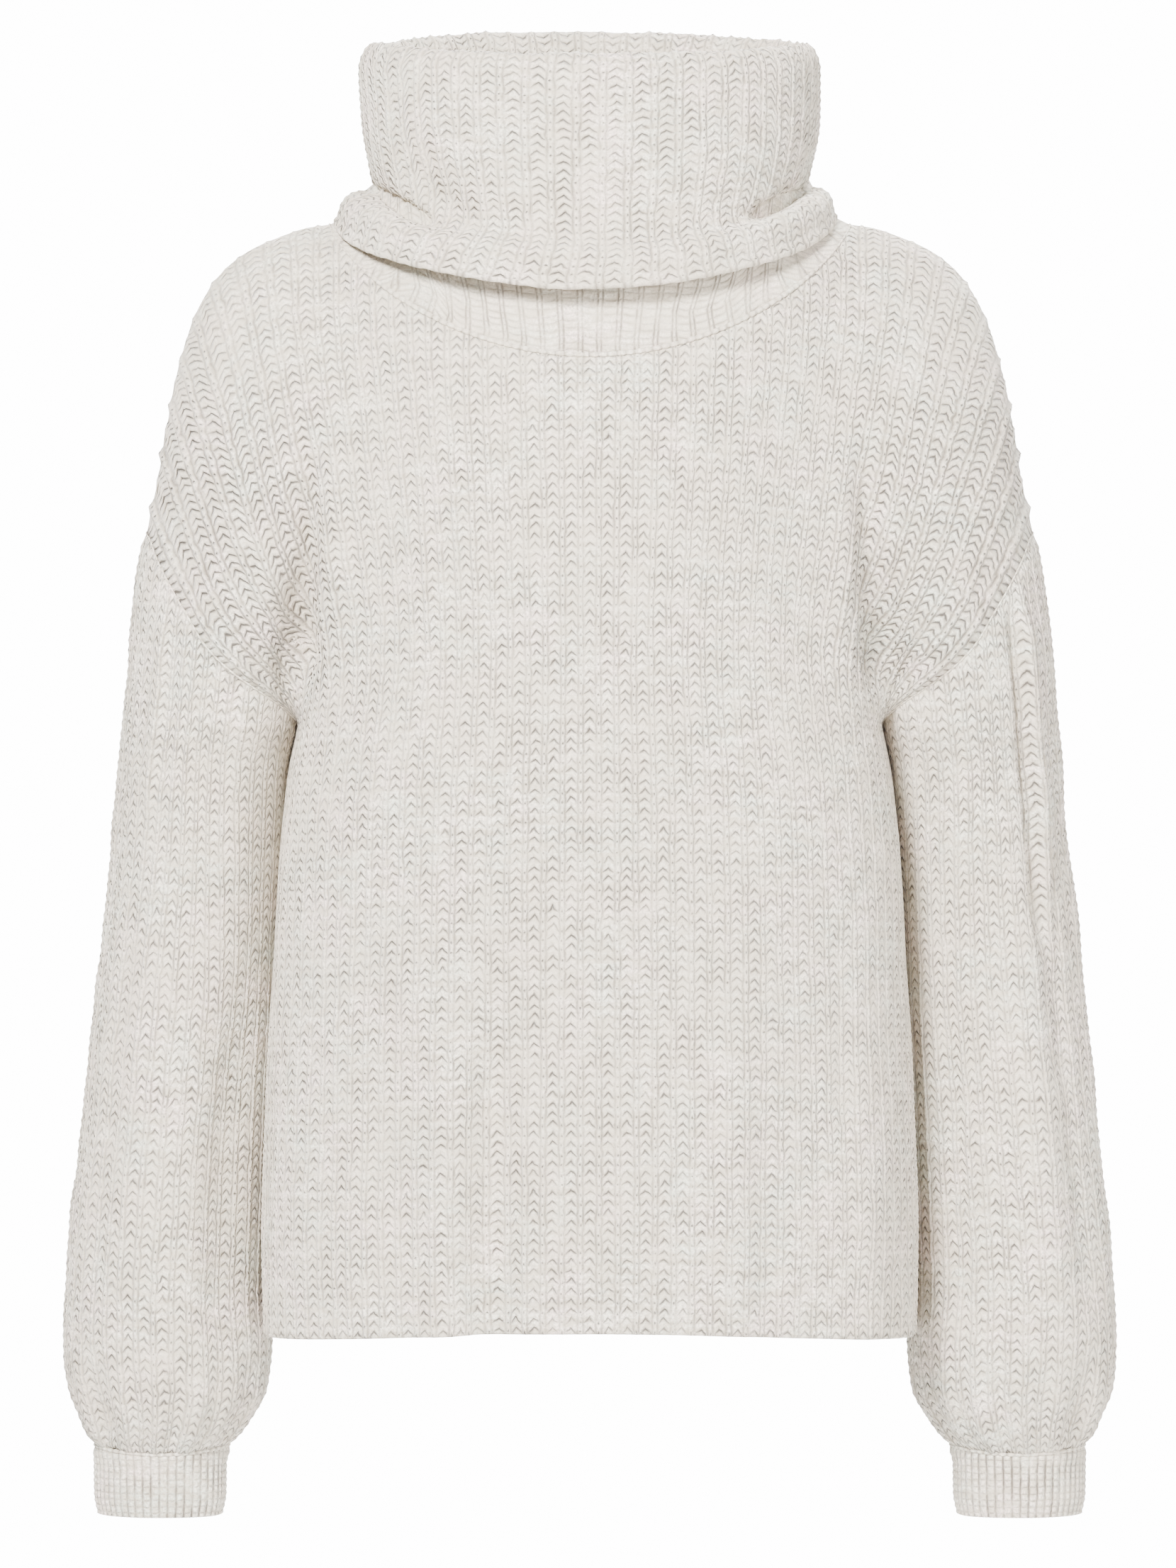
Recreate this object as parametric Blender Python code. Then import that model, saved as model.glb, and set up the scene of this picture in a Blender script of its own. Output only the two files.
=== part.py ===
"""A chunky rib-knit sweater with a doubled-over cowl collar, drop shoulders and balloon sleeves.

The garment is filled out as if worn. +Z is up, the front faces -Y and the wearer's left arm is at +X.
The origin is the middle of the neck's base, between the shoulders, where the wearer carries it.
Sizes in the tables are millimetres, and the meshes are metres.
"""

from collections import namedtuple

import bmesh
import bpy
import numpy as np

MM = 0.001
SEAM_GAP = 0.3
WALL = 3.0
RIB_HEIGHT = 1.6

BODY_RIBS = 48
NECK_RIBS = 28
SLEEVE_RIBS = 36
COLLAR_RIBS = 2 * NECK_RIBS
CUFF_RIBS = 24

# Heights of the body's main levels.
UNDERARM = -278.0
HEM_SIDE = -620.0
HEM_LIFT = 8.0
SIDE_SEAM_Y = 2.0
SECTION_POWER = 2.25

Torso = namedtuple("Torso", "height half_width front back")
TORSO = [
    Torso(-630, 182.5, 118, 103),
    Torso(-560, 184.0, 120, 105),
    Torso(-500, 182.0, 122, 107),
    Torso(-430, 178.0, 124, 108),
    Torso(-360, 173.5, 126, 108),
    Torso(-308, 168.5, 127, 107),
    Torso(-278, 165.0, 127, 106),
]

# The shoulder seam runs over the ridge, from the neck's side point to the top of the armhole.
SHOULDER_Y = 5.0
Ridge = namedtuple("Ridge", "x z")
RIDGE = [
    Ridge(147, 5.8),
    Ridge(160, 3.8),
    Ridge(176, -1.6),
    Ridge(192, -8.8),
    Ridge(208, -21.5),
    Ridge(222, -44),
    Ridge(232, -76),
    Ridge(238, -110),
    Ridge(243, -142),
    Ridge(250, -168),
]
RIDGE_FIRST_PITCH = 12.0

# The neckline dips more in front than behind. Its curve is an ellipse seen from above.
NECK_HALF_WIDTH = 147.0
NECK_DIP_POWER = 1.5
NECK_SLOPE_REACH = 0.42
Neck = namedtuple("Neck", "depth height")
NECK_FRONT = Neck(106, -74)
NECK_BACK = Neck(80, -14)

Sleeve = namedtuple("Sleeve", "height inner outer middle_y half_depth")
SLEEVE = [
    Sleeve(-160, 148, 248.5, 5, 50),
    Sleeve(-200, 152, 256.5, 6, 51),
    Sleeve(-240, 159, 260.5, 8, 52),
    Sleeve(-278, 165, 263.5, 10, 52),
    Sleeve(-300, 172.5, 265.5, 14, 51),
    Sleeve(-340, 176, 270, 21, 51),
    Sleeve(-390, 177.5, 276, 29, 51),
    Sleeve(-430, 178.5, 281, 34, 52),
    Sleeve(-500, 181, 288, 40, 54),
    Sleeve(-560, 183, 294, 46, 57),
    Sleeve(-600, 184, 297.5, 48, 58.5),
    Sleeve(-628, 182.5, 299, 49, 58),
    Sleeve(-655, 185, 295.5, 49, 54),
    Sleeve(-671, 193.5, 289, 49, 46),
    Sleeve(-687, 206, 282, 48, 32),
]
SLEEVE_END = -687.0

# How far down the armhole seam lies, by the angle round the arm from its outer side.
Armhole = namedtuple("Armhole", "angle height")
ARMHOLE = [
    Armhole(0, -168),
    Armhole(20, -172),
    Armhole(41, -187),
    Armhole(66, -213),
    Armhole(84, -234),
    Armhole(104, -249),
    Armhole(128, -261),
    Armhole(152, -270),
    Armhole(180, -278),
]

Cuff = namedtuple("Cuff", "height half_width half_depth")
CUFF = [
    Cuff(-687, 38.0, 32.0),
    Cuff(-699, 38.2, 32.5),
    Cuff(-715, 38.0, 32.5),
    Cuff(-726, 36.0, 31.0),
]
CUFF_MIDDLE_X = 244.0
CUFF_MIDDLE_Y = 48.0
CUFF_RIB_SHARE = 0.6

# The collar's cloth, from the neckline up inside, over the fold and down outside to its free edge.
Ring = namedtuple("Ring", "half_width front back z_front z_side z_back")
RingAt = namedtuple("RingAt", "level half_width front back z_front z_side z_back")
COLLAR = [
    Ring(131, 95.0, 76.0, -55, 9.5, 4),
    Ring(117, 87.0, 73.5, -22, 24, 30),
    Ring(113.5, 83.5, 76.5, 35, 58, 72),
    Ring(117.5, 85.5, 80.5, 85, 99, 114),
    Ring(124, 91.5, 86.5, 95.5, 107.5, 122.5),
    Ring(130.0, 97.5, 92.5, 84, 97, 112),
    Ring(128.0, 98.5, 93.5, 44, 62, 72),
    Ring(123.5, 99.5, 93.0, 12, 37, 40),
    Ring(122.0, 103.0, 94.0, -10, 26.5, 14),
    Ring(134.5, 110.5, 98.0, -27, 19.5, -2),
    Ring(146.5, 117.5, 103.0, -38.5, 10.8, -18),
]
COLLAR_DIP_POWER = 1.35

# A soft trough (depth over 0) or ridge (depth under 0) on a body panel, along a leaning line.
BodyFold = namedtuple("BodyFold", "panel x lean top bottom width depth")
BODY_FOLDS = [
    BodyFold("front", -47, 0.02, -400, -640, 17, 5.0),
    BodyFold("front", -78, 0.02, -400, -640, 17, -3.5),
    BodyFold("front", 112, -0.05, -350, -640, 20, 4.0),
    BodyFold("front", 150, -0.02, -460, -650, 16, -4.0),
    BodyFold("front", -128, -0.06, -330, -560, 18, 3.5),
    BodyFold("front", 40, 0.05, -140, -330, 26, -2.0),
    BodyFold("back", 62, 0.03, -330, -640, 19, 5.0),
    BodyFold("back", -35, -0.04, -420, -640, 18, 4.0),
    BodyFold("back", -118, 0.03, -300, -600, 20, -4.0),
    BodyFold("back", 5, 0.02, -60, -240, 30, 3.0),
]

# The valley between the chest and the arm, which opens out upwards.
Valley = namedtuple("Valley", "height x depth width")
VALLEY = [
    Valley(-278, 172, 16, 9),
    Valley(-245, 171, 25, 12),
    Valley(-210, 165, 21, 15),
    Valley(-175, 158, 12, 19),
    Valley(-130, 158, 3, 24),
    Valley(-95, 160, 0, 26),
]

SleeveFold = namedtuple("SleeveFold", "sleeve angle drift top bottom width depth")
SLEEVE_FOLDS = [
    SleeveFold("right", 128, -8, -400, -670, 15, 6.0),
    SleeveFold("right", 70, 6, -330, -600, 18, -3.0),
    SleeveFold("right", 96, 0, -190, -420, 16, 4.5),
    SleeveFold("right", 250, 14, -300, -600, 18, 6.0),
    SleeveFold("right", 300, -10, -380, -660, 16, -4.0),
    SleeveFold("left", 48, -6, -300, -640, 13, 5.0),
    SleeveFold("left", 72, -4, -300, -640, 14, -4.0),
    SleeveFold("left", 118, 8, -380, -650, 16, 4.5),
    SleeveFold("left", 285, 10, -320, -640, 18, 6.0),
    SleeveFold("left", 230, -6, -360, -600, 16, -4.0),
]

# Creases in the collar, where the tube bends out over the shoulders, and one soft fold at the front.
CollarFold = namedtuple("CollarFold", "angle width level spread depth")
COLLAR_FOLDS = [
    CollarFold(68, 17, 9.2, 0.8, 5.0),
    CollarFold(-66, 18, 9.2, 0.8, 5.0),
    CollarFold(-42, 13, 8.0, 1.0, 3.0),
    CollarFold(118, 20, 9.2, 0.8, 4.0),
    CollarFold(-124, 20, 9.2, 0.8, 4.5),
    CollarFold(20, 30, 7.4, 1.0, -2.5),
]

# Where the rows of points lie: a panel's from the hem to the underarm, then to its top, and a sleeve's.
LOWER_LEVELS = np.array([0, 0.33, 0.68, 1.0])
YOKE_LEVELS = np.linspace(0, 1, 7)
SLEEVE_LEVELS = np.array([0, 0.06, 0.18, 0.36, 0.57, 0.76, 0.87, 0.925, 0.965, 1.0])

MIRROR = {"left": np.array([1.0, 1, 1]), "right": np.array([-1.0, 1, 1])}

WOOL = {"colour": (0.76, 0.73, 0.69, 1.0), "roughness": 0.95}


def through(rows, key, column, at):
    """A smooth curve through a table's column, with no overshoot between its rows."""
    ordered = sorted(rows, key=lambda row: getattr(row, key))
    x = np.array([getattr(row, key) for row in ordered], float)
    y = np.array([getattr(row, column) for row in ordered], float)
    run = np.diff(x)
    rise = np.diff(y) / run
    slope = np.empty(len(x))
    slope[0] = rise[0]
    slope[-1] = rise[-1]
    same_way = rise[:-1] * rise[1:] > 0
    mean = np.where(same_way, 2 * rise[:-1] * rise[1:] / np.where(same_way, rise[:-1] + rise[1:], 1), 0)
    slope[1:-1] = mean
    at = np.clip(np.asarray(at, float), x[0], x[-1])
    i = np.clip(np.searchsorted(x, at, side="right") - 1, 0, len(run) - 1)
    f = (at - x[i]) / run[i]
    return (
        (1 + 2 * f) * (1 - f) ** 2 * y[i]
        + f * (1 - f) ** 2 * run[i] * slope[i]
        + f * f * (3 - 2 * f) * y[i + 1]
        + f * f * (f - 1) * run[i] * slope[i + 1]
    )


def ease(x):
    """A step from 0 to 1 with no corner at either end."""
    x = np.clip(x, 0, 1)
    return x * x * (3 - 2 * x)


def unit(vectors):
    return vectors / np.linalg.norm(vectors, axis=-1, keepdims=True)


def lay_out(*columns):
    """Stacks x, y and z arrays of any matching shapes into points."""
    return np.stack(np.broadcast_arrays(*columns), axis=-1).astype(float)


def along(points, share):
    """Points at these shares of a polyline's length."""
    steps = np.linalg.norm(np.diff(points, axis=0), axis=1)
    length = np.concatenate([[0], np.cumsum(steps)])
    at = np.asarray(share) * length[-1]
    return np.stack([np.interp(at, length, points[:, k]) for k in range(3)], axis=-1)


def rounded(x, power):
    """x to a power, keeping its sign."""
    return np.sign(x) * np.abs(x) ** power


def torso_angle(s, half_width, depth):
    """The angle round a half section at these shares of its length."""
    phi = np.linspace(0, np.pi, 361)
    x = -half_width * rounded(np.cos(phi), 2 / SECTION_POWER)
    y = depth * np.sin(phi) ** (2 / SECTION_POWER)
    length = np.concatenate([[0], np.cumsum(np.hypot(np.diff(x), np.diff(y)))])
    return np.interp(s, length / length[-1], phi)


def torso(panel, s, height):
    """The body's tube at a share s across one panel, from the wearer's right side to the left."""
    half_width = through(TORSO, "height", "half_width", height)
    depth = through(TORSO, "height", panel, height)
    phi = torso_angle(s, half_width.mean(), depth.mean())
    x = -half_width * rounded(np.cos(phi), 2 / SECTION_POWER)
    y = depth * np.sin(phi) ** (2 / SECTION_POWER)
    facing = -1 if panel == "front" else 1
    return lay_out(x, SIDE_SEAM_Y + facing * y, height)


def neckline(angle):
    """The neckline seam, by the angle from the front's middle. Its height falls off from the sides."""
    c = np.cos(angle)
    front = c > 0
    depth = np.where(front, NECK_FRONT.depth + SHOULDER_Y, NECK_BACK.depth - SHOULDER_Y)
    side = RIDGE[0].z
    drop = np.where(front, NECK_FRONT.height, NECK_BACK.height) - side
    dip = np.abs(c) ** NECK_DIP_POWER
    return lay_out(NECK_HALF_WIDTH * np.sin(angle), SHOULDER_Y - depth * c, side + drop * dip)


def neckline_normal(angle):
    """Out of the cloth at the neckline seam, the same for the body and the collar."""
    c = np.cos(angle)
    return unit(lay_out(0.25 * np.sin(angle), -0.8 * c, 0.6 + 0.35 * np.abs(np.sin(angle))))


def ridge_curve():
    steps = np.linspace(RIDGE[0].x, RIDGE[-1].x, 200)
    return lay_out(steps, SHOULDER_Y, through(RIDGE, "x", "z", steps))


def top_edge(panel, s):
    """A panel's top edge, its outward normals and the way each rib arrives: shoulder, neckline, shoulder."""
    facing = -1 if panel == "front" else 1
    side = np.sign(s - 0.5)
    half = np.abs(s - 0.5) * 2
    neck_share = NECK_RIBS / BODY_RIBS
    on_neck = half <= neck_share
    across = np.clip(half / neck_share, 0, 1)
    angle = np.arcsin(across)
    if panel == "back":
        angle = np.pi - angle
    neck = neckline(angle)
    neck_out = neckline_normal(angle)
    ridge = ridge_curve()
    length = np.linalg.norm(np.diff(ridge, axis=0), axis=1).sum()
    out = np.clip((half - neck_share) / (1 - neck_share), 0, 1)
    first = RIDGE_FIRST_PITCH * (BODY_RIBS - NECK_RIBS) / 2 / length
    share = first * out + (1 - first) * out**2
    seam = along(ridge, share)
    ahead = along(ridge, np.minimum(share + 0.004, 1)) - along(ridge, np.maximum(share - 0.004, 0))
    seam_out = unit(lay_out(-ahead[:, 2], 0 * out, ahead[:, 0]))
    points = np.where(on_neck[:, None], neck, seam)
    normals = np.where(on_neck[:, None], neck_out, seam_out)
    slope = ease(np.abs(np.cos(angle)) / NECK_SLOPE_REACH)
    rise = np.where(on_neck, 0.2 + 0.75 * slope, 0.2 + 0.45 * out)
    back_way = np.where(on_neck, 1 - 0.55 * slope, 1.0)
    lean = np.where(on_neck, 0.0, 0.25 * out)
    pull = np.where(on_neck, 0.63 + 0.2 * slope, 0.63 + 0.2 * out)
    arriving = unit(lay_out(lean, -facing * back_way, rise)) * pull[:, None]
    mirror = np.stack([np.where(side < 0, -1.0, 1.0), np.ones(len(s)), np.ones(len(s))], axis=-1)
    return points * mirror, normals * mirror, arriving * mirror


def sleeve_tube(angle, height):
    """The wearer's left arm's tube. The angle runs from its outer side round the front to its inner side."""
    inner = through(SLEEVE, "height", "inner", height)
    outer = through(SLEEVE, "height", "outer", height)
    middle_y = through(SLEEVE, "height", "middle_y", height)
    half_depth = through(SLEEVE, "height", "half_depth", height)
    x = (inner + outer) / 2 + (outer - inner) / 2 * np.cos(angle)
    return lay_out(x, middle_y - half_depth * np.sin(angle), height)


def armhole_height(angle):
    degrees = np.degrees(angle) % 360
    return through(ARMHOLE, "angle", "height", np.minimum(degrees, 360 - degrees))


def armhole(angle):
    """The armhole seam of the wearer's left arm, on the arm's tube but drawn to the side seam's depth."""
    points = sleeve_tube(angle, armhole_height(angle))
    top = (1 + np.cos(angle)) / 2
    target = top * SHOULDER_Y + (1 - top) * SIDE_SEAM_Y
    points[..., 1] += (target - through(SLEEVE, "height", "middle_y", points[..., 2])) * np.cos(angle) ** 2
    return points


def armhole_normal(angle):
    """Out of the cloth at the armhole seam. Under the arm the cloth turns back, so it points down."""
    c = np.cos(angle)
    return unit(lay_out(np.maximum(c, 0), -np.sin(angle), -(((1 - c) / 2) ** 2)))


def armhole_angles(share):
    """Angles on the armhole seam: shares 0 to 0.5 run down its front by length, and 0.5 to 1 up its back."""
    sweep = np.linspace(0, 2 * np.pi, 721)
    points = armhole(sweep)
    length = np.concatenate([[0], np.cumsum(np.linalg.norm(np.diff(points, axis=0), axis=1))])
    half = length[360]
    up_back = 0.5 + (length - half) / (length[-1] - half) / 2
    return np.interp(share, np.where(length <= half, length / half / 2, up_back), sweep)


def panel_shares(panel, t):
    """A panel's half of the armhole seam as shares of the whole, from the underarm (t 0) to the shoulder."""
    return 0.5 - t / 2 if panel == "front" else 0.5 + t / 2


def yoke(panel, s, t):
    """A panel above the underarm: each rib rises from the tube and bends over to the top edge."""
    facing = -1 if panel == "front" else 1
    start = torso(panel, s, np.full(len(s), UNDERARM))
    below = torso(panel, s, np.full(len(s), UNDERARM - 10))
    end, _, arriving = top_edge(panel, s)
    reach = np.linalg.norm(end - start, axis=1, keepdims=True)
    leaving = unit(start - below) * reach * 0.95
    arriving = arriving * reach
    f = t[None, :, None]
    hermite = (
        (1 + 2 * f) * (1 - f) ** 2 * start[:, None]
        + f * (1 - f) ** 2 * leaving[:, None]
        + f * f * (3 - 2 * f) * end[:, None]
        + f * f * (f - 1) * arriving[:, None]
    )
    seam = armhole(armhole_angles(panel_shares(panel, t)))
    for edge, mirror in ((-1, -1.0), (0, 1.0)):
        if edge == 0:
            weight = ease((s - 0.70) / 0.30) ** 1.2
        else:
            weight = ease((0.30 - s) / 0.30) ** 1.2
        own = yoke_edge(panel, t, mirror)
        target = seam * np.array([mirror, 1, 1])
        hermite = hermite + weight[:, None, None] * (target - own)[None]
    x = np.abs(hermite[..., 0])
    z = hermite[..., 2]
    off = (x - through(VALLEY, "height", "x", z)) / through(VALLEY, "height", "width", z)
    inward = through(VALLEY, "height", "depth", z) * np.exp(-off * off) * ease(t / 0.25)[None, :]
    free = ease((1 - np.maximum(s, 1 - s)) / 0.06)[:, None]
    hermite[..., 1] -= facing * inward * free * ease((1 - t) / 0.3)[None, :]
    return hermite


def yoke_edge(panel, t, mirror):
    """Where the outermost rib would run with no armhole to follow."""
    s = np.array([1.0])
    start = torso(panel, s, np.full(1, UNDERARM))
    below = torso(panel, s, np.full(1, UNDERARM - 10))
    end, _, arriving = top_edge(panel, s)
    reach = np.linalg.norm(end - start, axis=1, keepdims=True)
    leaving = unit(start - below) * reach * 0.95
    arriving = arriving * reach
    f = t[:, None]
    path = (
        (1 + 2 * f) * (1 - f) ** 2 * start
        + f * (1 - f) ** 2 * leaving
        + f * f * (3 - 2 * f) * end
        + f * f * (f - 1) * arriving
    )
    return path * np.array([mirror, 1, 1])


def panel_points(panel, s, levels):
    """A body panel's outer face. Levels 0 to 1 climb from the hem to the underarm, and 1 to 2 to the top."""
    low = levels[levels <= 1]
    high = levels[levels > 1] - 1
    hem = HEM_SIDE + (HEM_LIFT * np.sin(np.pi * s) ** 2 if panel == "front" else 0 * s)
    height = hem[:, None] + (UNDERARM - hem)[:, None] * low[None, :]
    lower = np.stack([torso(panel, s, height[:, k]) for k in range(len(low))], axis=1)
    points = np.concatenate([lower, yoke(panel, s, high)], axis=1)
    facing = -1 if panel == "front" else 1
    edge = ease((1 - np.abs(2 * s - 1)) / 0.1)[:, None]
    for fold in BODY_FOLDS:
        if fold.panel == panel:
            z = points[..., 2]
            middle = fold.x + fold.lean * (z - fold.top)
            off = (points[..., 0] - middle) / fold.width
            length = ease((fold.top - z) / 90) * ease((z - fold.bottom) / 30)
            points[..., 1] -= facing * fold.depth * length * edge * np.exp(-off * off)
    return points


def sleeve_points(side, share, levels):
    """A sleeve's outer face at +X, with one side's folds, from the armhole (level 0) to the cuff seam (1)."""
    start = armhole_angles(share)[:, None]
    angle = start + (2 * np.pi * share[:, None] - start) * ease(levels / 0.5)[None, :]
    top = armhole_height(start)
    height = top + (SLEEVE_END - top) * levels[None, :]
    inner = through(SLEEVE, "height", "inner", height)
    outer = through(SLEEVE, "height", "outer", height)
    middle_y = through(SLEEVE, "height", "middle_y", height)
    points = sleeve_tube(angle, height)
    out = unit(points - lay_out((inner + outer) / 2, middle_y, height))
    degrees = np.degrees(angle)
    for fold in SLEEVE_FOLDS:
        if fold.sleeve == side:
            down = np.clip((fold.top - height) / (fold.top - fold.bottom), 0, 1)
            off = (degrees - fold.angle - fold.drift * down + 180) % 360 - 180
            length = ease(down / 0.3) * ease((1 - down) / 0.25)
            points -= (fold.depth * length * np.exp(-((off / fold.width) ** 2)))[..., None] * out
    drawn = armhole(start) - sleeve_tube(start, top)
    return points + drawn * (1 - ease(levels / 0.2))[None, :, None]


def cuff_points(angle, levels):
    """The outer face of the cuff at +X, from its seam (level 0) down to its free edge (level 1)."""
    height = CUFF[0].height + (CUFF[-1].height - CUFF[0].height) * levels
    x = CUFF_MIDDLE_X + np.cos(angle)[:, None] * through(CUFF, "height", "half_width", height)
    y = CUFF_MIDDLE_Y - np.sin(angle)[:, None] * through(CUFF, "height", "half_depth", height)
    return lay_out(x, y, height[None, :])


def neck_angles(share):
    """Angles on the neckline at shares round it from the front's middle, evenly spaced across each panel."""
    quarter = np.floor(share * 4)
    part = share * 4 - quarter
    rising = np.arcsin(part)
    falling = np.arccos(1 - part)
    return quarter * np.pi / 2 + np.where(quarter % 2 == 0, rising, falling)


def collar_points(share, levels):
    """The collar's ribbed face. Level 0 is the neckline, and each whole level is a ring of the table."""
    start = neck_angles(share)[:, None]
    angle = start + (2 * np.pi * share[:, None] - start) * ease(levels / 3)[None, :]
    c = np.cos(angle)
    seam = neckline(start) - WALL * neckline_normal(start)
    at = [RingAt(k + 1, *ring) for k, ring in enumerate(COLLAR)]
    ring = {name: through(at, "level", name, np.maximum(levels, 1))[None, :] for name in Ring._fields}
    depth = np.where(c > 0, ring["front"], ring["back"])
    drop = np.where(c > 0, ring["z_front"], ring["z_back"]) - ring["z_side"]
    z = ring["z_side"] + drop * np.abs(c) ** COLLAR_DIP_POWER
    points = lay_out(ring["half_width"] * np.sin(angle), -depth * c, z)
    first = 1 - ease(levels)[None, :, None]
    points = points * (1 - first) + seam * first
    out = unit(lay_out(np.sin(angle), -c, 0.3))
    for fold in COLLAR_FOLDS:
        off = ((np.degrees(angle) - fold.angle + 180) % 360 - 180) / fold.width
        up = (levels[None, :] - fold.level) / fold.spread
        points -= (fold.depth * np.exp(-off * off - up * up))[..., None] * out
    return points


def face_normals(points, closed):
    """Normals of a grid of points, out of the cloth where its columns run anticlockwise from above."""
    if closed:
        wrapped = np.concatenate([points[-1:], points, points[:1]], axis=0)
        across = wrapped[2:] - wrapped[:-2]
    else:
        across = np.gradient(points, axis=0)
    up = np.gradient(points, axis=1)
    return unit(np.cross(across, up))


def ribbed_wall(name, points, normals, closed, relief):
    """A closed solid: ribs are raised in the outer points, over a plain inside with a column a rib."""
    columns, rows = points.shape[:2]
    crest = np.arange(columns) % 2 == 1
    lift = RIB_HEIGHT * crest[:, None] * relief
    outer = (points + normals * lift[..., None]) * MM
    inner = (points - normals * WALL) * MM
    bm = bmesh.new()
    out = [[bm.verts.new(p) for p in column] for column in outer]
    inn = [[bm.verts.new(p) for p in column] for column in inner[::2]]
    first = [bm.verts.new(p) for p in inner[1::2, 0]]
    last = [bm.verts.new(p) for p in inner[1::2, -1]]
    wrap = columns if closed else columns - 1
    for i in range(wrap):
        j = (i + 1) % columns
        for k in range(rows - 1):
            bm.faces.new((out[i][k], out[j][k], out[j][k + 1], out[i][k + 1]))
    for i in range(wrap // 2):
        j = (i + 1) % len(inn)
        bm.faces.new((inn[i][0], inn[i][1], inn[j][1], inn[j][0], first[i]))
        for k in range(1, rows - 2):
            bm.faces.new((inn[i][k], inn[i][k + 1], inn[j][k + 1], inn[j][k]))
        bm.faces.new((inn[i][-2], inn[i][-1], last[i], inn[j][-1], inn[j][-2]))
        a, b, c = 2 * i, 2 * i + 1, (2 * i + 2) % columns
        bm.faces.new((out[b][0], out[a][0], inn[i][0], first[i]))
        bm.faces.new((out[c][0], out[b][0], first[i], inn[j][0]))
        bm.faces.new((out[a][-1], out[b][-1], last[i], inn[i][-1]))
        bm.faces.new((out[b][-1], out[c][-1], inn[j][-1], last[i]))
    if not closed:
        for k in range(rows - 1):
            bm.faces.new((out[0][k + 1], inn[0][k + 1], inn[0][k], out[0][k]))
            bm.faces.new((out[-1][k], inn[-1][k], inn[-1][k + 1], out[-1][k + 1]))
    bmesh.ops.recalc_face_normals(bm, faces=bm.faces)
    bmesh.ops.triangulate(bm, faces=bm.faces)
    mesh = bpy.data.meshes.new(name)
    bm.to_mesh(mesh)
    bm.free()
    mesh.shade_smooth()
    solid = bpy.data.objects.new(name, mesh)
    bpy.context.scene.collection.objects.link(solid)
    return solid


def wool(name, share):
    """The yarn's melange varies a little between the pieces."""
    material = bpy.data.materials.new(name)
    material.use_nodes = True
    shader = material.node_tree.nodes["Principled BSDF"]
    colour = [c * share for c in WOOL["colour"][:3]] + [1.0]
    shader.inputs["Base Color"].default_value = colour
    shader.inputs["Roughness"].default_value = WOOL["roughness"]
    shader.inputs["Metallic"].default_value = 0.0
    return material


def fade_at_ends(levels, first, last):
    """Ribs lie flat in a sewn edge's own row, and full height in the rows after it."""
    relief = np.ones(len(levels))
    if first:
        relief[0] = 0
    if last:
        relief[-1] = 0
    return relief[None, :]


def toward(direction, seam_normals, points):
    """Unit vectors in the cloth, square to its edge, on the side that direction points to."""
    along_edge = np.gradient(points, axis=0)
    square = unit(np.cross(along_edge, seam_normals))
    return square * np.sign((square * direction).sum(-1))[:, None]


def body_panel(panel):
    """The front or the back, with its edges drawn half a seam gap back from each seam."""
    s = np.linspace(0, 1, 2 * BODY_RIBS + 1)
    levels = np.concatenate([LOWER_LEVELS, 1 + YOKE_LEVELS[1:]])
    points = panel_points(panel, s, levels)
    facing = -1 if panel == "front" else 1
    normals = face_normals(points, closed=False) * -facing
    _, top_out, _ = top_edge(panel, s)
    normals[:, -1] = top_out
    low = levels <= 1
    ring = np.flatnonzero(low)[-1]
    seam_out = armhole_normal(armhole_angles(panel_shares(panel, levels[~low] - 1)))
    for column, beside, mirror in ((0, 1, -1.0), (-1, -2, 1.0)):
        flip = np.array([mirror, 1, 1])
        normals[column, low] = flip * np.array([1.0, 0, 0])
        normals[column, ring] = flip * unit(np.array([1.0, 0, -1.0]))
        normals[column, ~low] = flip * seam_out
        normals[column, -1] = flip * unit(np.array([1.0, 0, 0.05]))
        edge = points[column].copy()
        inward = toward(points[beside] - edge, normals[column], edge)
        points[column, ring + 1 :] += inward[ring + 1 :] * SEAM_GAP / 2
        points[column, : ring + 1, 1] += facing * SEAM_GAP / 2
    top = points[:, -1].copy()
    points[:, -1] += toward(points[:, -2] - top, top_out, top) * SEAM_GAP / 2
    pressed = 1 - 0.75 * ease((np.abs(2 * s - 1) - 0.84) / 0.1)[:, None] * (levels > 0.5)[None, :]
    relief = fade_at_ends(levels, first=False, last=True) * pressed
    solid = ribbed_wall(panel, points, normals, closed=False, relief=relief)
    solid.data.materials.append(wool(panel, 1.0 if panel == "front" else 0.98))


def shared_armhole(share):
    """The armhole seam with the same straight stretches as the panels' edges, and its normals."""
    nodes = np.concatenate([panel_shares("front", YOKE_LEVELS[::-1]), panel_shares("back", YOKE_LEVELS[1:])])
    angle = armhole_angles(nodes)
    points = armhole(angle)
    normals = armhole_normal(angle)
    normals[[0, -1]] = unit(np.array([1.0, 0, 0.05]))
    seam = np.stack([np.interp(share, nodes, points[:, k]) for k in range(3)], axis=-1)
    out = np.stack([np.interp(share, nodes, normals[:, k]) for k in range(3)], axis=-1)
    return seam, out


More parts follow.
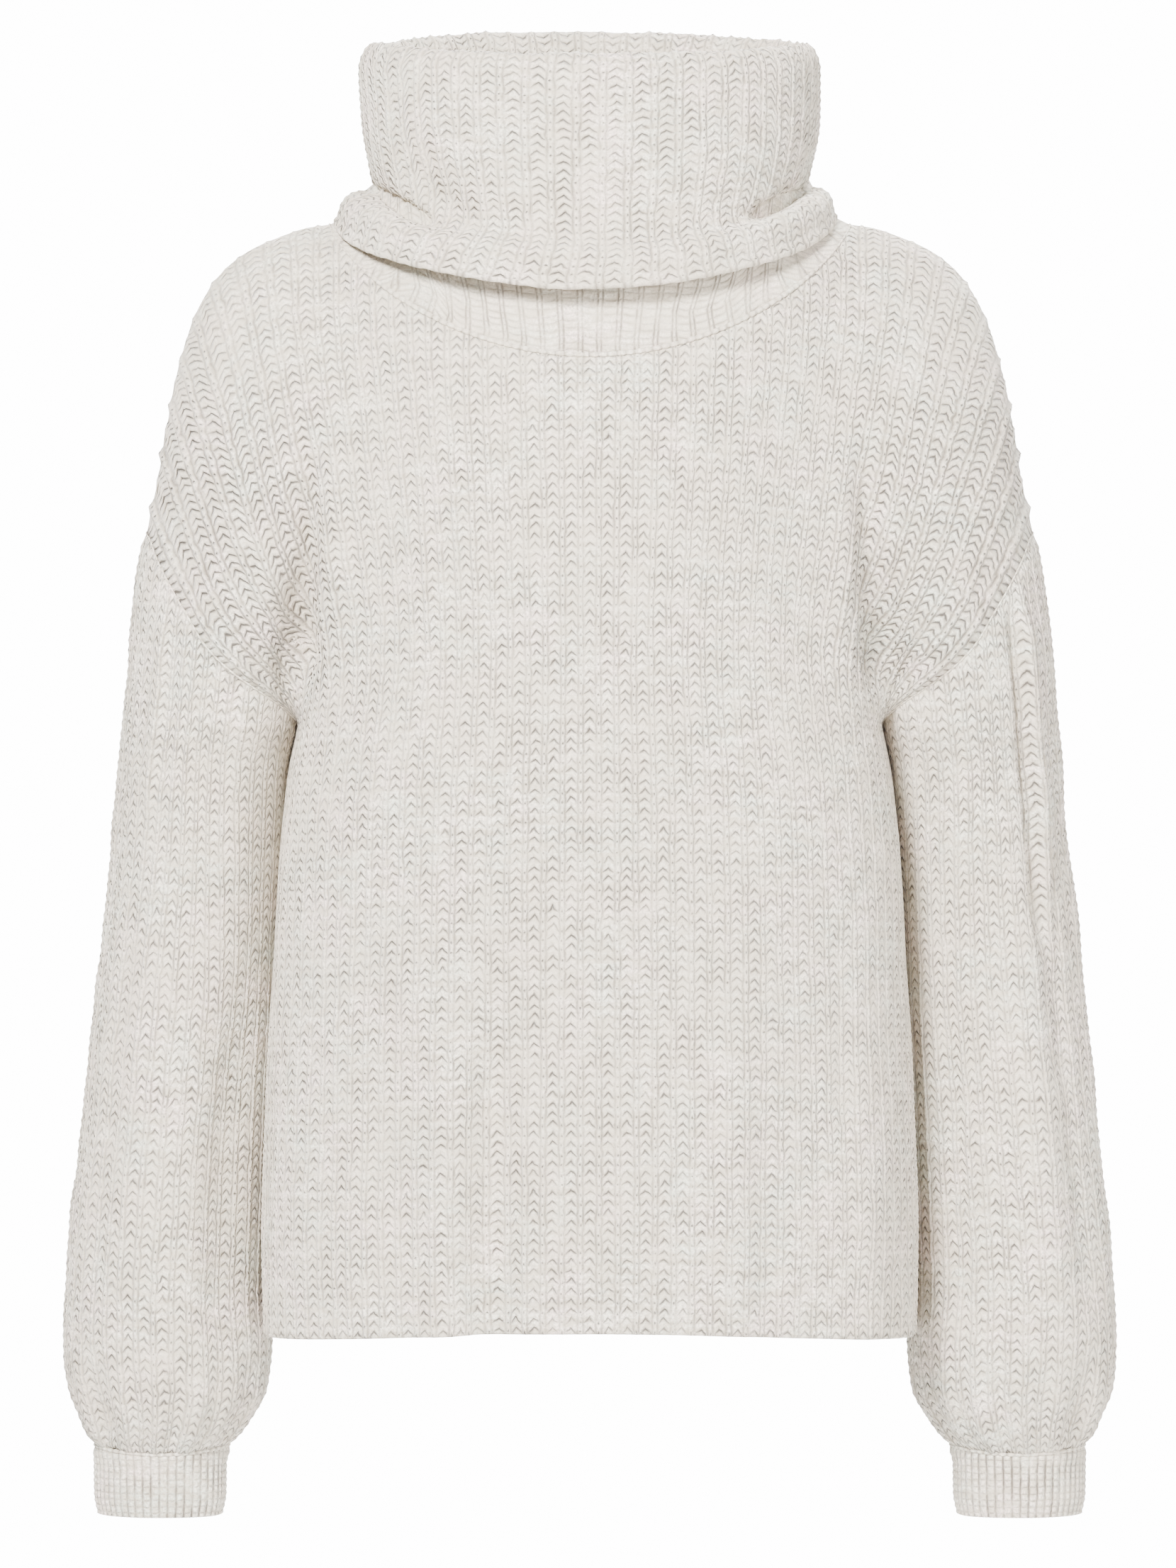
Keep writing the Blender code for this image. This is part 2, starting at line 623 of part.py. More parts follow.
def sleeve(side):
    share = np.arange(2 * SLEEVE_RIBS) / (2 * SLEEVE_RIBS)
    levels = SLEEVE_LEVELS
    angle = 2 * np.pi * share
    radial = lay_out(np.cos(angle), -np.sin(angle), 0 * angle)
    mirror = MIRROR[side]
    points = sleeve_points(side, share, levels)
    seam, seam_out = shared_armhole(share)
    points[:, 0] = seam
    normals = face_normals(points, closed=True)
    normals *= np.sign((normals * radial[:, None]).sum(-1).mean())
    normals[:, 0] = seam_out
    normals[:, -1] = radial
    wrapped = np.concatenate([seam[-1:], seam, seam[:1]])
    along_seam = wrapped[2:] - wrapped[:-2]
    down = unit(np.cross(along_seam, seam_out))
    down *= np.sign((down * (points[:, 1] - seam)).sum(-1))[:, None]
    points[:, 0] += down * SEAM_GAP / 2
    points[:, -1, 2] += SEAM_GAP / 2
    round_inner = ease((np.abs(np.degrees(angle) - 180) - 35) / 25)[:, None]
    pressed = 1 - 0.75 * (1 - round_inner) * (levels < 0.4)[None, :]
    relief = fade_at_ends(levels, first=True, last=True) * pressed
    solid = ribbed_wall(f"sleeve_{side}", points * mirror, normals * mirror, closed=True, relief=relief)
    solid.data.materials.append(wool(f"sleeve_{side}", 0.97))


def cuff(side):
    angle = np.arange(2 * CUFF_RIBS) / (2 * CUFF_RIBS) * 2 * np.pi
    levels = np.array([0, 0.3, 0.75, 1.0])
    mirror = MIRROR[side]
    points = cuff_points(angle, levels)
    points[:, 0, 2] -= SEAM_GAP / 2
    normals = np.repeat(lay_out(np.cos(angle), -np.sin(angle), 0 * angle)[:, None], len(levels), axis=1)
    relief = fade_at_ends(levels, first=True, last=False) * CUFF_RIB_SHARE
    solid = ribbed_wall(f"cuff_{side}", points * mirror, normals * mirror, closed=True, relief=relief)
    solid.data.materials.append(wool(f"cuff_{side}", 0.99))


def collar():
    share = np.arange(2 * COLLAR_RIBS) / (2 * COLLAR_RIBS)
    levels = np.arange(len(COLLAR) + 1.0)
    points = collar_points(share, levels)
    normals = face_normals(points, closed=True)
    outward = lay_out(np.sin(2 * np.pi * share), -np.cos(2 * np.pi * share), 0 * share)
    normals *= np.sign((normals[:, 7] * outward).sum(-1).mean())
    seam = points[:, 0].copy()
    normals[:, 0] = -neckline_normal(neck_angles(share))
    wrapped = np.concatenate([seam[-1:], seam, seam[:1]])
    up = unit(np.cross(wrapped[2:] - wrapped[:-2], normals[:, 0]))
    up *= np.sign((up * (points[:, 1] - seam)).sum(-1))[:, None]
    points[:, 0] += up * SEAM_GAP / 2
    relief = fade_at_ends(levels, first=True, last=False)
    solid = ribbed_wall("collar", points, normals, closed=True, relief=relief)
    solid.data.materials.append(wool("collar", 1.01))


def main():
    for old in list(bpy.data.objects):
        bpy.data.objects.remove(old)
    for panel in ("front", "back"):
        body_panel(panel)
    for side in ("left", "right"):
        sleeve(side)
        cuff(side)
    collar()


main()
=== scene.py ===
"""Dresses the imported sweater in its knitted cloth: every rib, course and chevron stitch is raised in the mesh.

The front faces -Y, the wearer's left arm is at +X, and the origin is the middle of the neck's base. Tables and
surface functions are in millimetres, and meshes and properties are in metres.
"""

import math
from collections import namedtuple

import bpy
import numpy as np
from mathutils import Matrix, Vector


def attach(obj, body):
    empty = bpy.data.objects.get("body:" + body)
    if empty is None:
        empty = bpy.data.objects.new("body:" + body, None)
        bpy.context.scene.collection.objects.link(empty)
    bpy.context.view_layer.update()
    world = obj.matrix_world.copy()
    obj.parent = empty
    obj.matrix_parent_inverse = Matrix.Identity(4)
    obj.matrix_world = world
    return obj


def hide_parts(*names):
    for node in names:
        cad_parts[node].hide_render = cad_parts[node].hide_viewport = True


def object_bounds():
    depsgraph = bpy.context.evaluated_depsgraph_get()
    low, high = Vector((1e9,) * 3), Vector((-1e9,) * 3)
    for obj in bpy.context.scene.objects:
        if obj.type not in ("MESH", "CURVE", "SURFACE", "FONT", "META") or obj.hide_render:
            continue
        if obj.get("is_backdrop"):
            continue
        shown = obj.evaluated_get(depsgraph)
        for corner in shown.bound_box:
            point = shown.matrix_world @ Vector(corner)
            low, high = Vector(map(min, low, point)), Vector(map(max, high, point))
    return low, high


bl_info = {
    "name": "Chunky rib-knit sweater",
    "version": (1, 0, 0),
    "blender": (4, 5, 0),
    "location": "3D View > Sidebar > Sweater",
    "description": "Knits a cowl-necked sweater over its packed frame and lights it in a plain studio",
    "category": "Object",
}

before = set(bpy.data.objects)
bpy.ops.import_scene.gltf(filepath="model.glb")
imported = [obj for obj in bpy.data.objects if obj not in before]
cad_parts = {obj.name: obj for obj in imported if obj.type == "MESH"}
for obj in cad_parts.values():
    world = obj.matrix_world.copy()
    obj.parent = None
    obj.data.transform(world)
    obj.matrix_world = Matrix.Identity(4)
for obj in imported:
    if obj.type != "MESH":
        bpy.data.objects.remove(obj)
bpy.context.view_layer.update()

MM = 0.001
SEAM_GAP = 0.3
WALL = 3.0

BODY_RIBS = 48
NECK_RIBS = 28
SLEEVE_RIBS = 36
COLLAR_RIBS = 2 * NECK_RIBS

# Heights of the body's main levels.
UNDERARM = -278.0
HEM_SIDE = -620.0
HEM_LIFT = 8.0
SIDE_SEAM_Y = 2.0
SECTION_POWER = 2.25

Torso = namedtuple("Torso", "height half_width front back")
TORSO = [
    Torso(-630, 182.5, 118, 103),
    Torso(-560, 184.0, 120, 105),
    Torso(-500, 182.0, 122, 107),
    Torso(-430, 179.0, 124, 108),
    Torso(-360, 175.5, 126, 108),
    Torso(-308, 170.5, 127, 107),
    Torso(-278, 165.0, 127, 106),
]

# The shoulder seam runs over the ridge, from the neck's side point to the top of the armhole.
SHOULDER_Y = 5.0
Ridge = namedtuple("Ridge", "x z")
RIDGE = [
    Ridge(147, 5.8),
    Ridge(160, 3.8),
    Ridge(176, -1.6),
    Ridge(192, -8.8),
    Ridge(208, -21.5),
    Ridge(222, -44),
    Ridge(232, -76),
    Ridge(238, -110),
    Ridge(243, -142),
    Ridge(250, -168),
]
RIDGE_FIRST_PITCH = 12.0

# The neckline dips more in front than behind. Its curve is an ellipse seen from above.
NECK_HALF_WIDTH = 147.0
NECK_DIP_POWER = 1.5
NECK_SLOPE_REACH = 0.42
Neck = namedtuple("Neck", "depth height")
NECK_FRONT = Neck(106, -74)
NECK_BACK = Neck(80, -14)

Sleeve = namedtuple("Sleeve", "height inner outer middle_y half_depth")
SLEEVE = [
    Sleeve(-160, 148, 248.5, 5, 50),
    Sleeve(-200, 152, 256.5, 6, 51),
    Sleeve(-240, 159, 260.5, 8, 52),
    Sleeve(-278, 165, 263.5, 12, 52),
    Sleeve(-300, 169.8, 265.5, 19, 51),
    Sleeve(-340, 172.4, 270, 27, 51),
    Sleeve(-390, 175, 276, 33, 51),
    Sleeve(-430, 177.2, 281, 37, 52),
    Sleeve(-500, 181, 288, 40, 54),
    Sleeve(-560, 183, 294, 46, 57),
    Sleeve(-600, 184, 297.5, 48, 58.5),
    Sleeve(-628, 182.5, 299, 49, 58),
    Sleeve(-655, 185, 295.5, 49, 54),
    Sleeve(-671, 193.5, 289, 49, 46),
    Sleeve(-687, 206, 282, 48, 32),
]
SLEEVE_END = -687.0

# How far down the armhole seam lies, by the angle round the arm from its outer side.
Armhole = namedtuple("Armhole", "angle height")
ARMHOLE = [
    Armhole(0, -168),
    Armhole(20, -172),
    Armhole(41, -187),
    Armhole(66, -213),
    Armhole(84, -234),
    Armhole(104, -249),
    Armhole(128, -261),
    Armhole(152, -270),
    Armhole(180, -278),
]

Cuff = namedtuple("Cuff", "height half_width half_depth")
CUFF = [
    Cuff(-687, 38.0, 32.0),
    Cuff(-699, 38.2, 32.5),
    Cuff(-715, 38.0, 32.5),
    Cuff(-726, 36.0, 31.0),
]
CUFF_MIDDLE_X = 244.0
CUFF_MIDDLE_Y = 48.0
CUFF_RIB_SHARE = 0.85

# The collar's cloth, from the neckline up inside, over the fold and down outside to its free edge.
Ring = namedtuple("Ring", "half_width front back z_front z_side z_back")
RingAt = namedtuple("RingAt", "level half_width front back z_front z_side z_back")
COLLAR = [
    Ring(131, 95.0, 76.0, -55, 9.5, 4),
    Ring(117, 87.0, 73.5, -22, 24, 30),
    Ring(113.5, 83.5, 76.5, 35, 58, 72),
    Ring(116.5, 85.5, 80.5, 83, 98, 113.5),
    Ring(122.5, 91.5, 86.5, 93.2, 106.5, 122.0),
    Ring(129.2, 97.5, 92.5, 82, 93, 110),
    Ring(128.0, 98.5, 93.5, 44, 62, 72),
    Ring(123.5, 99.5, 93.0, 12, 37, 40),
    Ring(122.0, 103.0, 94.0, -10, 26.5, 14),
    Ring(134.5, 110.5, 98.0, -27, 19.5, -2),
    Ring(151.0, 117.5, 103.0, -38.5, 9.0, -18),
]
COLLAR_DIP_POWER = 1.35

# A soft trough (depth over 0) or ridge (depth under 0) on a body panel, along a leaning line.
BodyFold = namedtuple("BodyFold", "panel x lean top bottom width depth")
BODY_FOLDS = [
    BodyFold("front", -47, 0.02, -400, -640, 17, 5.0),
    BodyFold("front", -78, 0.02, -400, -640, 17, -3.5),
    BodyFold("front", 112, -0.05, -350, -640, 20, 4.0),
    BodyFold("front", 150, -0.02, -460, -650, 16, -4.0),
    BodyFold("front", -128, -0.06, -330, -560, 18, 3.5),
    BodyFold("front", 40, 0.05, -140, -330, 26, -2.0),
    BodyFold("back", 62, 0.03, -330, -640, 19, 5.0),
    BodyFold("back", -35, -0.04, -420, -640, 18, 4.0),
    BodyFold("back", -118, 0.03, -300, -600, 20, -4.0),
    BodyFold("back", 5, 0.02, -60, -240, 30, 3.0),
]

# The valley between the chest and the arm, which opens out upwards.
Valley = namedtuple("Valley", "height x depth width")
VALLEY = [
    Valley(-278, 172, 16, 9),
    Valley(-245, 171, 25, 12),
    Valley(-210, 165, 21, 15),
    Valley(-175, 158, 12, 19),
    Valley(-130, 158, 3, 24),
    Valley(-95, 160, 0, 26),
]

SleeveFold = namedtuple("SleeveFold", "sleeve angle drift top bottom width depth")
SLEEVE_FOLDS = [
    SleeveFold("right", 128, -8, -400, -670, 15, 6.0),
    SleeveFold("right", 70, 6, -330, -600, 18, -3.0),
    SleeveFold("right", 96, 0, -190, -420, 16, 4.5),
    SleeveFold("right", 250, 14, -300, -600, 18, 6.0),
    SleeveFold("right", 300, -10, -380, -660, 16, -4.0),
    SleeveFold("left", 48, -6, -300, -640, 13, 5.0),
    SleeveFold("left", 72, -4, -300, -640, 14, -4.0),
    SleeveFold("left", 118, 8, -380, -650, 16, 4.5),
    SleeveFold("left", 285, 10, -320, -640, 18, 6.0),
    SleeveFold("left", 230, -6, -360, -600, 16, -4.0),
]

# Creases in the collar, where the tube bends out over the shoulders, and one soft fold at the front.
CollarFold = namedtuple("CollarFold", "angle width level spread depth")
COLLAR_FOLDS = [
    CollarFold(68, 17, 9.2, 0.8, 5.0),
    CollarFold(-66, 18, 9.2, 0.8, 5.0),
    CollarFold(-42, 13, 8.0, 1.0, 3.0),
    CollarFold(118, 20, 9.2, 0.8, 4.0),
    CollarFold(-124, 20, 9.2, 0.8, 4.5),
    CollarFold(20, 30, 7.4, 1.0, -2.5),
]

MIRROR = {"left": np.array([1.0, 1, 1]), "right": np.array([-1.0, 1, 1])}
FACING = {"front": -1, "back": 1}

# Fine cloth. Each rib has this many columns of points, and each course this many rows.
COLUMNS_PER_RIB = 6
ROWS_PER_COURSE = 2
BASE_LEVELS = 200
INSIDE_EVERY = 8
SLIVER = 0.05
SEAM_REACH = 14.0
FINE_CUFF_RIBS = 48

# Small soft folds that the solids don't have, on the same terms as theirs.
FINE_BODY_FOLDS = [
    BodyFold("front", -20, 0.03, -300, -520, 12, 1.6),
    BodyFold("front", -52, 0.02, -410, -650, 12, 7.5),
    BodyFold("front", -76, 0.02, -410, -650, 12, -2.5),
    BodyFold("front", 78, -0.02, -420, -640, 11, -2.4),
    BodyFold("front", 96, -0.02, -440, -640, 9, 2.2),
    BodyFold("front", 138, -0.04, -380, -640, 7, 2.2),
    BodyFold("front", -150, -0.03, -420, -640, 10, 2.0),
    BodyFold("front", 12, 0.06, -120, -260, 14, 1.4),
    BodyFold("front", -104, 0.12, -110, -260, 16, 1.6),
    BodyFold("front", 104, -0.12, -120, -270, 16, 1.6),
    BodyFold("front", 153, -0.04, -100, -268, 8, 11.0),
    BodyFold("front", -156, 0.03, -100, -270, 7.5, 12.0),
    BodyFold("front", -142, 0.03, -120, -300, 9, -3.0),
    BodyFold("front", 139, -0.04, -120, -300, 9, -3.0),
    BodyFold("front", -192, -0.3, -120, -264, 9, 7.0),
    BodyFold("front", 187, 0.28, -140, -264, 9, 6.0),
    BodyFold("front", -172, 0.1, -130, -262, 8, -3.0),
    BodyFold("back", 30, 0.02, -250, -600, 12, -1.8),
    BodyFold("back", -80, -0.03, -200, -560, 13, 2.0),
    BodyFold("back", 128, 0.03, -380, -640, 10, 2.2),
    BodyFold("back", -60, -0.1, -60, -220, 18, 1.8),
    BodyFold("back", 84, 0.1, -70, -230, 18, -1.6),
    BodyFold("back", 156, -0.02, -120, -268, 9, 6.0),
    BodyFold("back", -153, 0.02, -120, -268, 9, 7.0),
    BodyFold("back", 190, 0.28, -160, -264, 9, 3.5),
]
FINE_SLEEVE_FOLDS = [
    SleeveFold("right", 20, 4, -240, -560, 9, 1.8),
    SleeveFold("right", 53, 0, -150, -340, 6, -2.4),
    SleeveFold("right", 66, 0, -150, -340, 7, 2.6),
    SleeveFold("right", 52, -6, -360, -640, 8, 2.2),
    SleeveFold("right", 150, 6, -460, -670, 9, -2.0),
    SleeveFold("right", 212, -4, -300, -620, 12, 2.0),
    SleeveFold("left", 22, 4, -220, -600, 8, 2.0),
    SleeveFold("left", 47, -2, -130, -430, 5, -5.0),
    SleeveFold("left", 58, -2, -130, -430, 6, 6.5),
    SleeveFold("left", 92, 5, -360, -660, 9, 2.0),
    SleeveFold("left", 160, -5, -420, -660, 10, -1.8),
    SleeveFold("left", 320, 6, -260, -600, 10, 2.0),
]
FINE_COLLAR_FOLDS = [
    CollarFold(-64, 14, 9.05, 0.3, 8.5),
    CollarFold(64, 16, 8.95, 0.3, 8.5),
    CollarFold(-54, 9, 9.15, 0.2, 4.0),
    CollarFold(54, 9, 9.1, 0.2, 3.5),
    CollarFold(-52, 10, 7.6, 0.7, 2.5),
    CollarFold(-42, 10, 8.3, 0.5, 4.0),
    CollarFold(-30, 10, 8.8, 0.4, 2.5),
    CollarFold(-60, 16, 9.8, 0.45, -4.5),
    CollarFold(62, 18, 9.8, 0.45, -4.5),
    CollarFold(40, 10, 8.4, 0.5, 1.6),
    CollarFold(0, 34, 9.6, 0.6, -2.0),
    CollarFold(128, 18, 9.0, 0.4, 4.0),
    CollarFold(-118, 16, 9.0, 0.4, 4.5),
    CollarFold(170, 24, 8.4, 0.6, 2.0),
]

# The height range that a change of the cloth takes in, and the lengths over which it fades at its ends.
Zone = namedtuple("Zone", "low low_fade high high_fade")
BESIDE_ARM = Zone(-460, 60, -246, 24)
DROP_SHOULDER = Zone(-270, 30, -60, 60)

# A body fold sets in over these lengths from its top and its bottom.
FOLD_ENDS = (90, 30)
FINE_FOLD_ENDS = (70, 40)

# Heights below which the sleeve sags over its cuff, and gathers.
SAGS_BELOW = -655
GATHERS_BELOW = -622

# How far each open edge bulges where its face turns to its inside.
HEM_BULGE = 1.2
CUFF_BULGE = 0.8
COLLAR_BULGE = 1.4

# Each piece's own start for the uneven swelling of worn cloth.
SEEDS = {"front": 3, "back": 8, "left": 21, "right": 34, "collar": 55}

# Beside the arm the ribs are pressed this much flatter, and at the drop shoulder they stand this much higher.
PRESSED_BY = 0.75
STRETCHED_BY = 0.9

# Relief fades out over this length at a seam, and a panel's normals turn to its side seams' in so many columns.
SEWN_REACH = 6.0
CUFF_SEWN_REACH = 3.0
EDGE_COLUMNS = 6

# Rows of points over an edge, as shares of the way from the face to the inside.
RIM_SHARES = np.array([0.22, 0.5, 0.78])

# The cowl hangs lower over the shoulders' fronts, by so much round these angles, and to one side.
Sag = namedtuple("Sag", "angle width drop")
COWL_SAGS = [Sag(288, 24, 5.0), Sag(70, 20, 3.0)]
COWL_SHIFT = 2.5
COWL_HANGS_FROM = 9.4

# A seam's chain of loops: the sides of its strand, and its rows of points to a loop.
STRAND_SIDES = 8
ROWS_PER_LOOP = 6

# Each chain's radius and the length of its loops. The neck's thins out under the collar, at the shoulders.
Chain = namedtuple("Chain", "radius stitch")
NECK_CHAIN = Chain(1.6, 5.0)
ARMHOLE_CHAIN = Chain(0.6, 5.5)
CUFF_CHAIN = Chain(1.1, 4.5)
NECK_CHAIN_THINS_BY = 0.9
NECK_CHAIN_THINS_FROM = 112

# The studio, in metres. Each lamp has its share of the key light's power.
Lamp = namedtuple("Lamp", "name place size share")
LAMPS = [
    Lamp("softbox_front", (-0.95, -2.5, 1.35), 0.9, 1.0),
    Lamp("softbox_side", (1.9, -2.2, 0.1), 1.4, 0.3),
    Lamp("softbox_back", (0.9, 2.3, 1.8), 1.5, 0.8),
]
LAMPS_AIM = Vector((0, 0, -0.3))
FLOOR_BELOW_CUFFS = 0.55
FLOOR_RADIUS = 2.6
BACKDROP_STRENGTH = 15.0
CAMERA_PLACE = (-0.001, -4.5, -0.3104)
LENS_MM = 183
SENSOR_MM = 36


def bend(start, leaving, end, arriving, f):
    """A cubic from start to end, with its slope at each, at shares f of the way."""
    return (
        (1 + 2 * f) * (1 - f) ** 2 * start
        + f * (1 - f) ** 2 * leaving
        + f * f * (3 - 2 * f) * end
        + f * f * (f - 1) * arriving
    )


def through(rows, key, column, at):
    """A smooth curve through a table's column, with no overshoot between its rows."""
    ordered = sorted(rows, key=lambda row: getattr(row, key))
    x = np.array([getattr(row, key) for row in ordered], float)
    y = np.array([getattr(row, column) for row in ordered], float)
    run = np.diff(x)
    rise = np.diff(y) / run
    same_way = rise[:-1] * rise[1:] > 0
    between = np.where(same_way, 2 * rise[:-1] * rise[1:] / np.where(same_way, rise[:-1] + rise[1:], 1), 0)
    slope = np.concatenate([rise[:1], between, rise[-1:]])
    at = np.clip(np.asarray(at, float), x[0], x[-1])
    i = np.clip(np.searchsorted(x, at, side="right") - 1, 0, len(run) - 1)
    return bend(y[i], run[i] * slope[i], y[i + 1], run[i] * slope[i + 1], (at - x[i]) / run[i])


def ease(x):
    """A step from 0 to 1 with no corner at either end."""
    x = np.clip(x, 0, 1)
    return x * x * (3 - 2 * x)


def within(height, zone):
    """1 inside a zone of heights, and 0 outside it."""
    return ease((height - zone.low) / zone.low_fade) * ease((zone.high - height) / zone.high_fade)


def off_angle(degrees, angle):
    """How far an angle lies from another, from -180 to 180 degrees."""
    return (degrees - angle + 180) % 360 - 180


def unit(vectors):
    return vectors / np.linalg.norm(vectors, axis=-1, keepdims=True)


def turned(normals, target, share):
    """Normals that turn to the target where the share falls from 1 to 0."""
    return unit(normals * share + target * (1 - share))


def lay_out(*columns):
    """Stacks coordinates of any matching shapes into points."""
    return np.stack(np.broadcast_arrays(*columns), axis=-1).astype(float)


def run_length(points, axis=0):
    """Lengths from the first point on, along one axis of a grid of points."""
    steps = np.linalg.norm(np.diff(points, axis=axis), axis=-1)
    return np.insert(np.cumsum(steps, axis=axis), 0, 0, axis=axis)


def read_off(points, length, at):
    """A row of points, read off at these lengths along it."""
    return np.stack([np.interp(at, length, column) for column in points.T], axis=-1)


def along(points, share):
    """Points at these shares of a polyline's length."""
    length = run_length(points)
    return read_off(points, length, np.asarray(share) * length[-1])


def rounded(x, power):
    """x to a power, keeping its sign."""
    return np.sign(x) * np.abs(x) ** power


def half_section(phi, half_width, depth):
    """x and y on a half section of the body, by the angle round it."""
    return -half_width * rounded(np.cos(phi), 2 / SECTION_POWER), depth * np.sin(phi) ** (2 / SECTION_POWER)


def torso_angle(s, half_width, depth):
    """The angle round a half section at these shares of its length."""
    phi = np.linspace(0, np.pi, 361)
    length = run_length(lay_out(*half_section(phi, half_width, depth)))
    return np.interp(s, length / length[-1], phi)


def torso(panel, s, height):
    """The body's tube at a share s across one panel, from the wearer's right side to the left."""
    half_width = through(TORSO, "height", "half_width", height)
    depth = through(TORSO, "height", panel, height)
    x, y = half_section(torso_angle(s, half_width.mean(), depth.mean()), half_width, depth)
    return lay_out(x, SIDE_SEAM_Y + FACING[panel] * y, height)


def neckline(angle):
    """The neckline seam, by the angle from the front's middle. Its height falls off from the sides."""
    c = np.cos(angle)
    front = c > 0
    depth = np.where(front, NECK_FRONT.depth + SHOULDER_Y, NECK_BACK.depth - SHOULDER_Y)
    side = RIDGE[0].z
    drop = np.where(front, NECK_FRONT.height, NECK_BACK.height) - side
    dip = np.abs(c) ** NECK_DIP_POWER
    return lay_out(NECK_HALF_WIDTH * np.sin(angle), SHOULDER_Y - depth * c, side + drop * dip)


def neckline_normal(angle):
    """Out of the cloth at the neckline seam, the same for the body and the collar."""
    c = np.cos(angle)
    return unit(lay_out(0.25 * np.sin(angle), -0.8 * c, 0.6 + 0.35 * np.abs(np.sin(angle))))


def ridge_curve():
    steps = np.linspace(RIDGE[0].x, RIDGE[-1].x, 200)
    return lay_out(steps, SHOULDER_Y, through(RIDGE, "x", "z", steps))


def top_edge(panel, s):
    """A panel's top edge, its outward normals and the way each rib arrives: shoulder, neckline, shoulder."""
    side = np.sign(s - 0.5)
    half = np.abs(s - 0.5) * 2
    neck_share = NECK_RIBS / BODY_RIBS
    on_neck = half <= neck_share
    across = np.clip(half / neck_share, 0, 1)
    angle = np.arcsin(across)
    if panel == "back":
        angle = np.pi - angle
    neck = neckline(angle)
    neck_out = neckline_normal(angle)
    ridge = ridge_curve()
    out = np.clip((half - neck_share) / (1 - neck_share), 0, 1)
    first = RIDGE_FIRST_PITCH * (BODY_RIBS - NECK_RIBS) / 2 / run_length(ridge)[-1]
    share = first * out + (1 - first) * out**2
    seam = along(ridge, share)
    ahead = along(ridge, np.minimum(share + 0.004, 1)) - along(ridge, np.maximum(share - 0.004, 0))
    seam_out = unit(lay_out(-ahead[:, 2], 0 * out, ahead[:, 0]))
    points = np.where(on_neck[:, None], neck, seam)
    normals = np.where(on_neck[:, None], neck_out, seam_out)
    slope = ease(np.abs(np.cos(angle)) / NECK_SLOPE_REACH)
    rise = np.where(on_neck, 0.2 + 0.75 * slope, 0.2 + 0.45 * out)
    back_way = np.where(on_neck, 1 - 0.55 * slope, 1.0)
    lean = np.where(on_neck, 0.0, 0.25 * out)
    pull = np.where(on_neck, 0.63 + 0.2 * slope, 0.63 + 0.2 * out)
    arriving = unit(lay_out(lean, -FACING[panel] * back_way, rise)) * pull[:, None]
    mirror = lay_out(np.where(side < 0, -1.0, 1.0), 1.0, 1.0)
    return points * mirror, normals * mirror, arriving * mirror


def sleeve_middle(height):
    """The middle of the wearer's left arm at these heights, and its half width and half depth."""
    inner, outer, middle_y, half_depth = (
        through(SLEEVE, "height", name, height) for name in ("inner", "outer", "middle_y", "half_depth")
    )
    return lay_out((inner + outer) / 2, middle_y, height), (outer - inner) / 2, half_depth


def sleeve_tube(angle, height):
    """The wearer's left arm's tube. The angle runs from its outer side round the front to its inner side."""
    middle, half_width, half_depth = sleeve_middle(height)
    x = middle[..., 0] + half_width * np.cos(angle)
    return lay_out(x, middle[..., 1] - half_depth * np.sin(angle), height)


def arm_out(angle):
    """Level directions out of the wearer's left arm."""
    return lay_out(np.cos(angle), -np.sin(angle), 0.0)


def armhole_height(angle):
    degrees = np.degrees(angle) % 360
    return through(ARMHOLE, "angle", "height", np.minimum(degrees, 360 - degrees))


def armhole(angle):
    """The armhole seam of the wearer's left arm, on the arm's tube but drawn to the side seam's depth."""
    points = sleeve_tube(angle, armhole_height(angle))
    top = (1 + np.cos(angle)) / 2
    target = top * SHOULDER_Y + (1 - top) * SIDE_SEAM_Y
    points[..., 1] += (target - through(SLEEVE, "height", "middle_y", points[..., 2])) * np.cos(angle) ** 2
    return points


def armhole_normal(angle):
    """Out of the cloth at the armhole seam. Under the arm the cloth turns back, so it points down."""
    c = np.cos(angle)
    return unit(lay_out(np.maximum(c, 0), -np.sin(angle), -(((1 - c) / 2) ** 2)))


def armhole_angles(share):
    """Angles on the armhole seam: shares 0 to 0.5 run down its front by length, and 0.5 to 1 up its back."""
    sweep = np.linspace(0, 2 * np.pi, 721)
    length = run_length(armhole(sweep))
    half = length[360]
    up_back = 0.5 + (length - half) / (length[-1] - half) / 2
    return np.interp(share, np.where(length <= half, length / half / 2, up_back), sweep)


def panel_shares(panel, t):
    """A panel's half of the armhole seam as shares of the whole, from the underarm (t 0) to the shoulder."""
    return 0.5 - t / 2 if panel == "front" else 0.5 + t / 2


def rib_paths(panel, s, t):
    """Each rib from the underarm, up and over to the top edge, with no armhole to follow."""
    start = torso(panel, s, np.full(len(s), UNDERARM))
    below = torso(panel, s, np.full(len(s), UNDERARM - 10))
    end, _, arriving = top_edge(panel, s)
    reach = np.linalg.norm(end - start, axis=1, keepdims=True)
    leaving = unit(start - below) * reach * 0.95
    arriving = arriving * reach
    return bend(start[:, None], leaving[:, None], end[:, None], arriving[:, None], t[None, :, None])


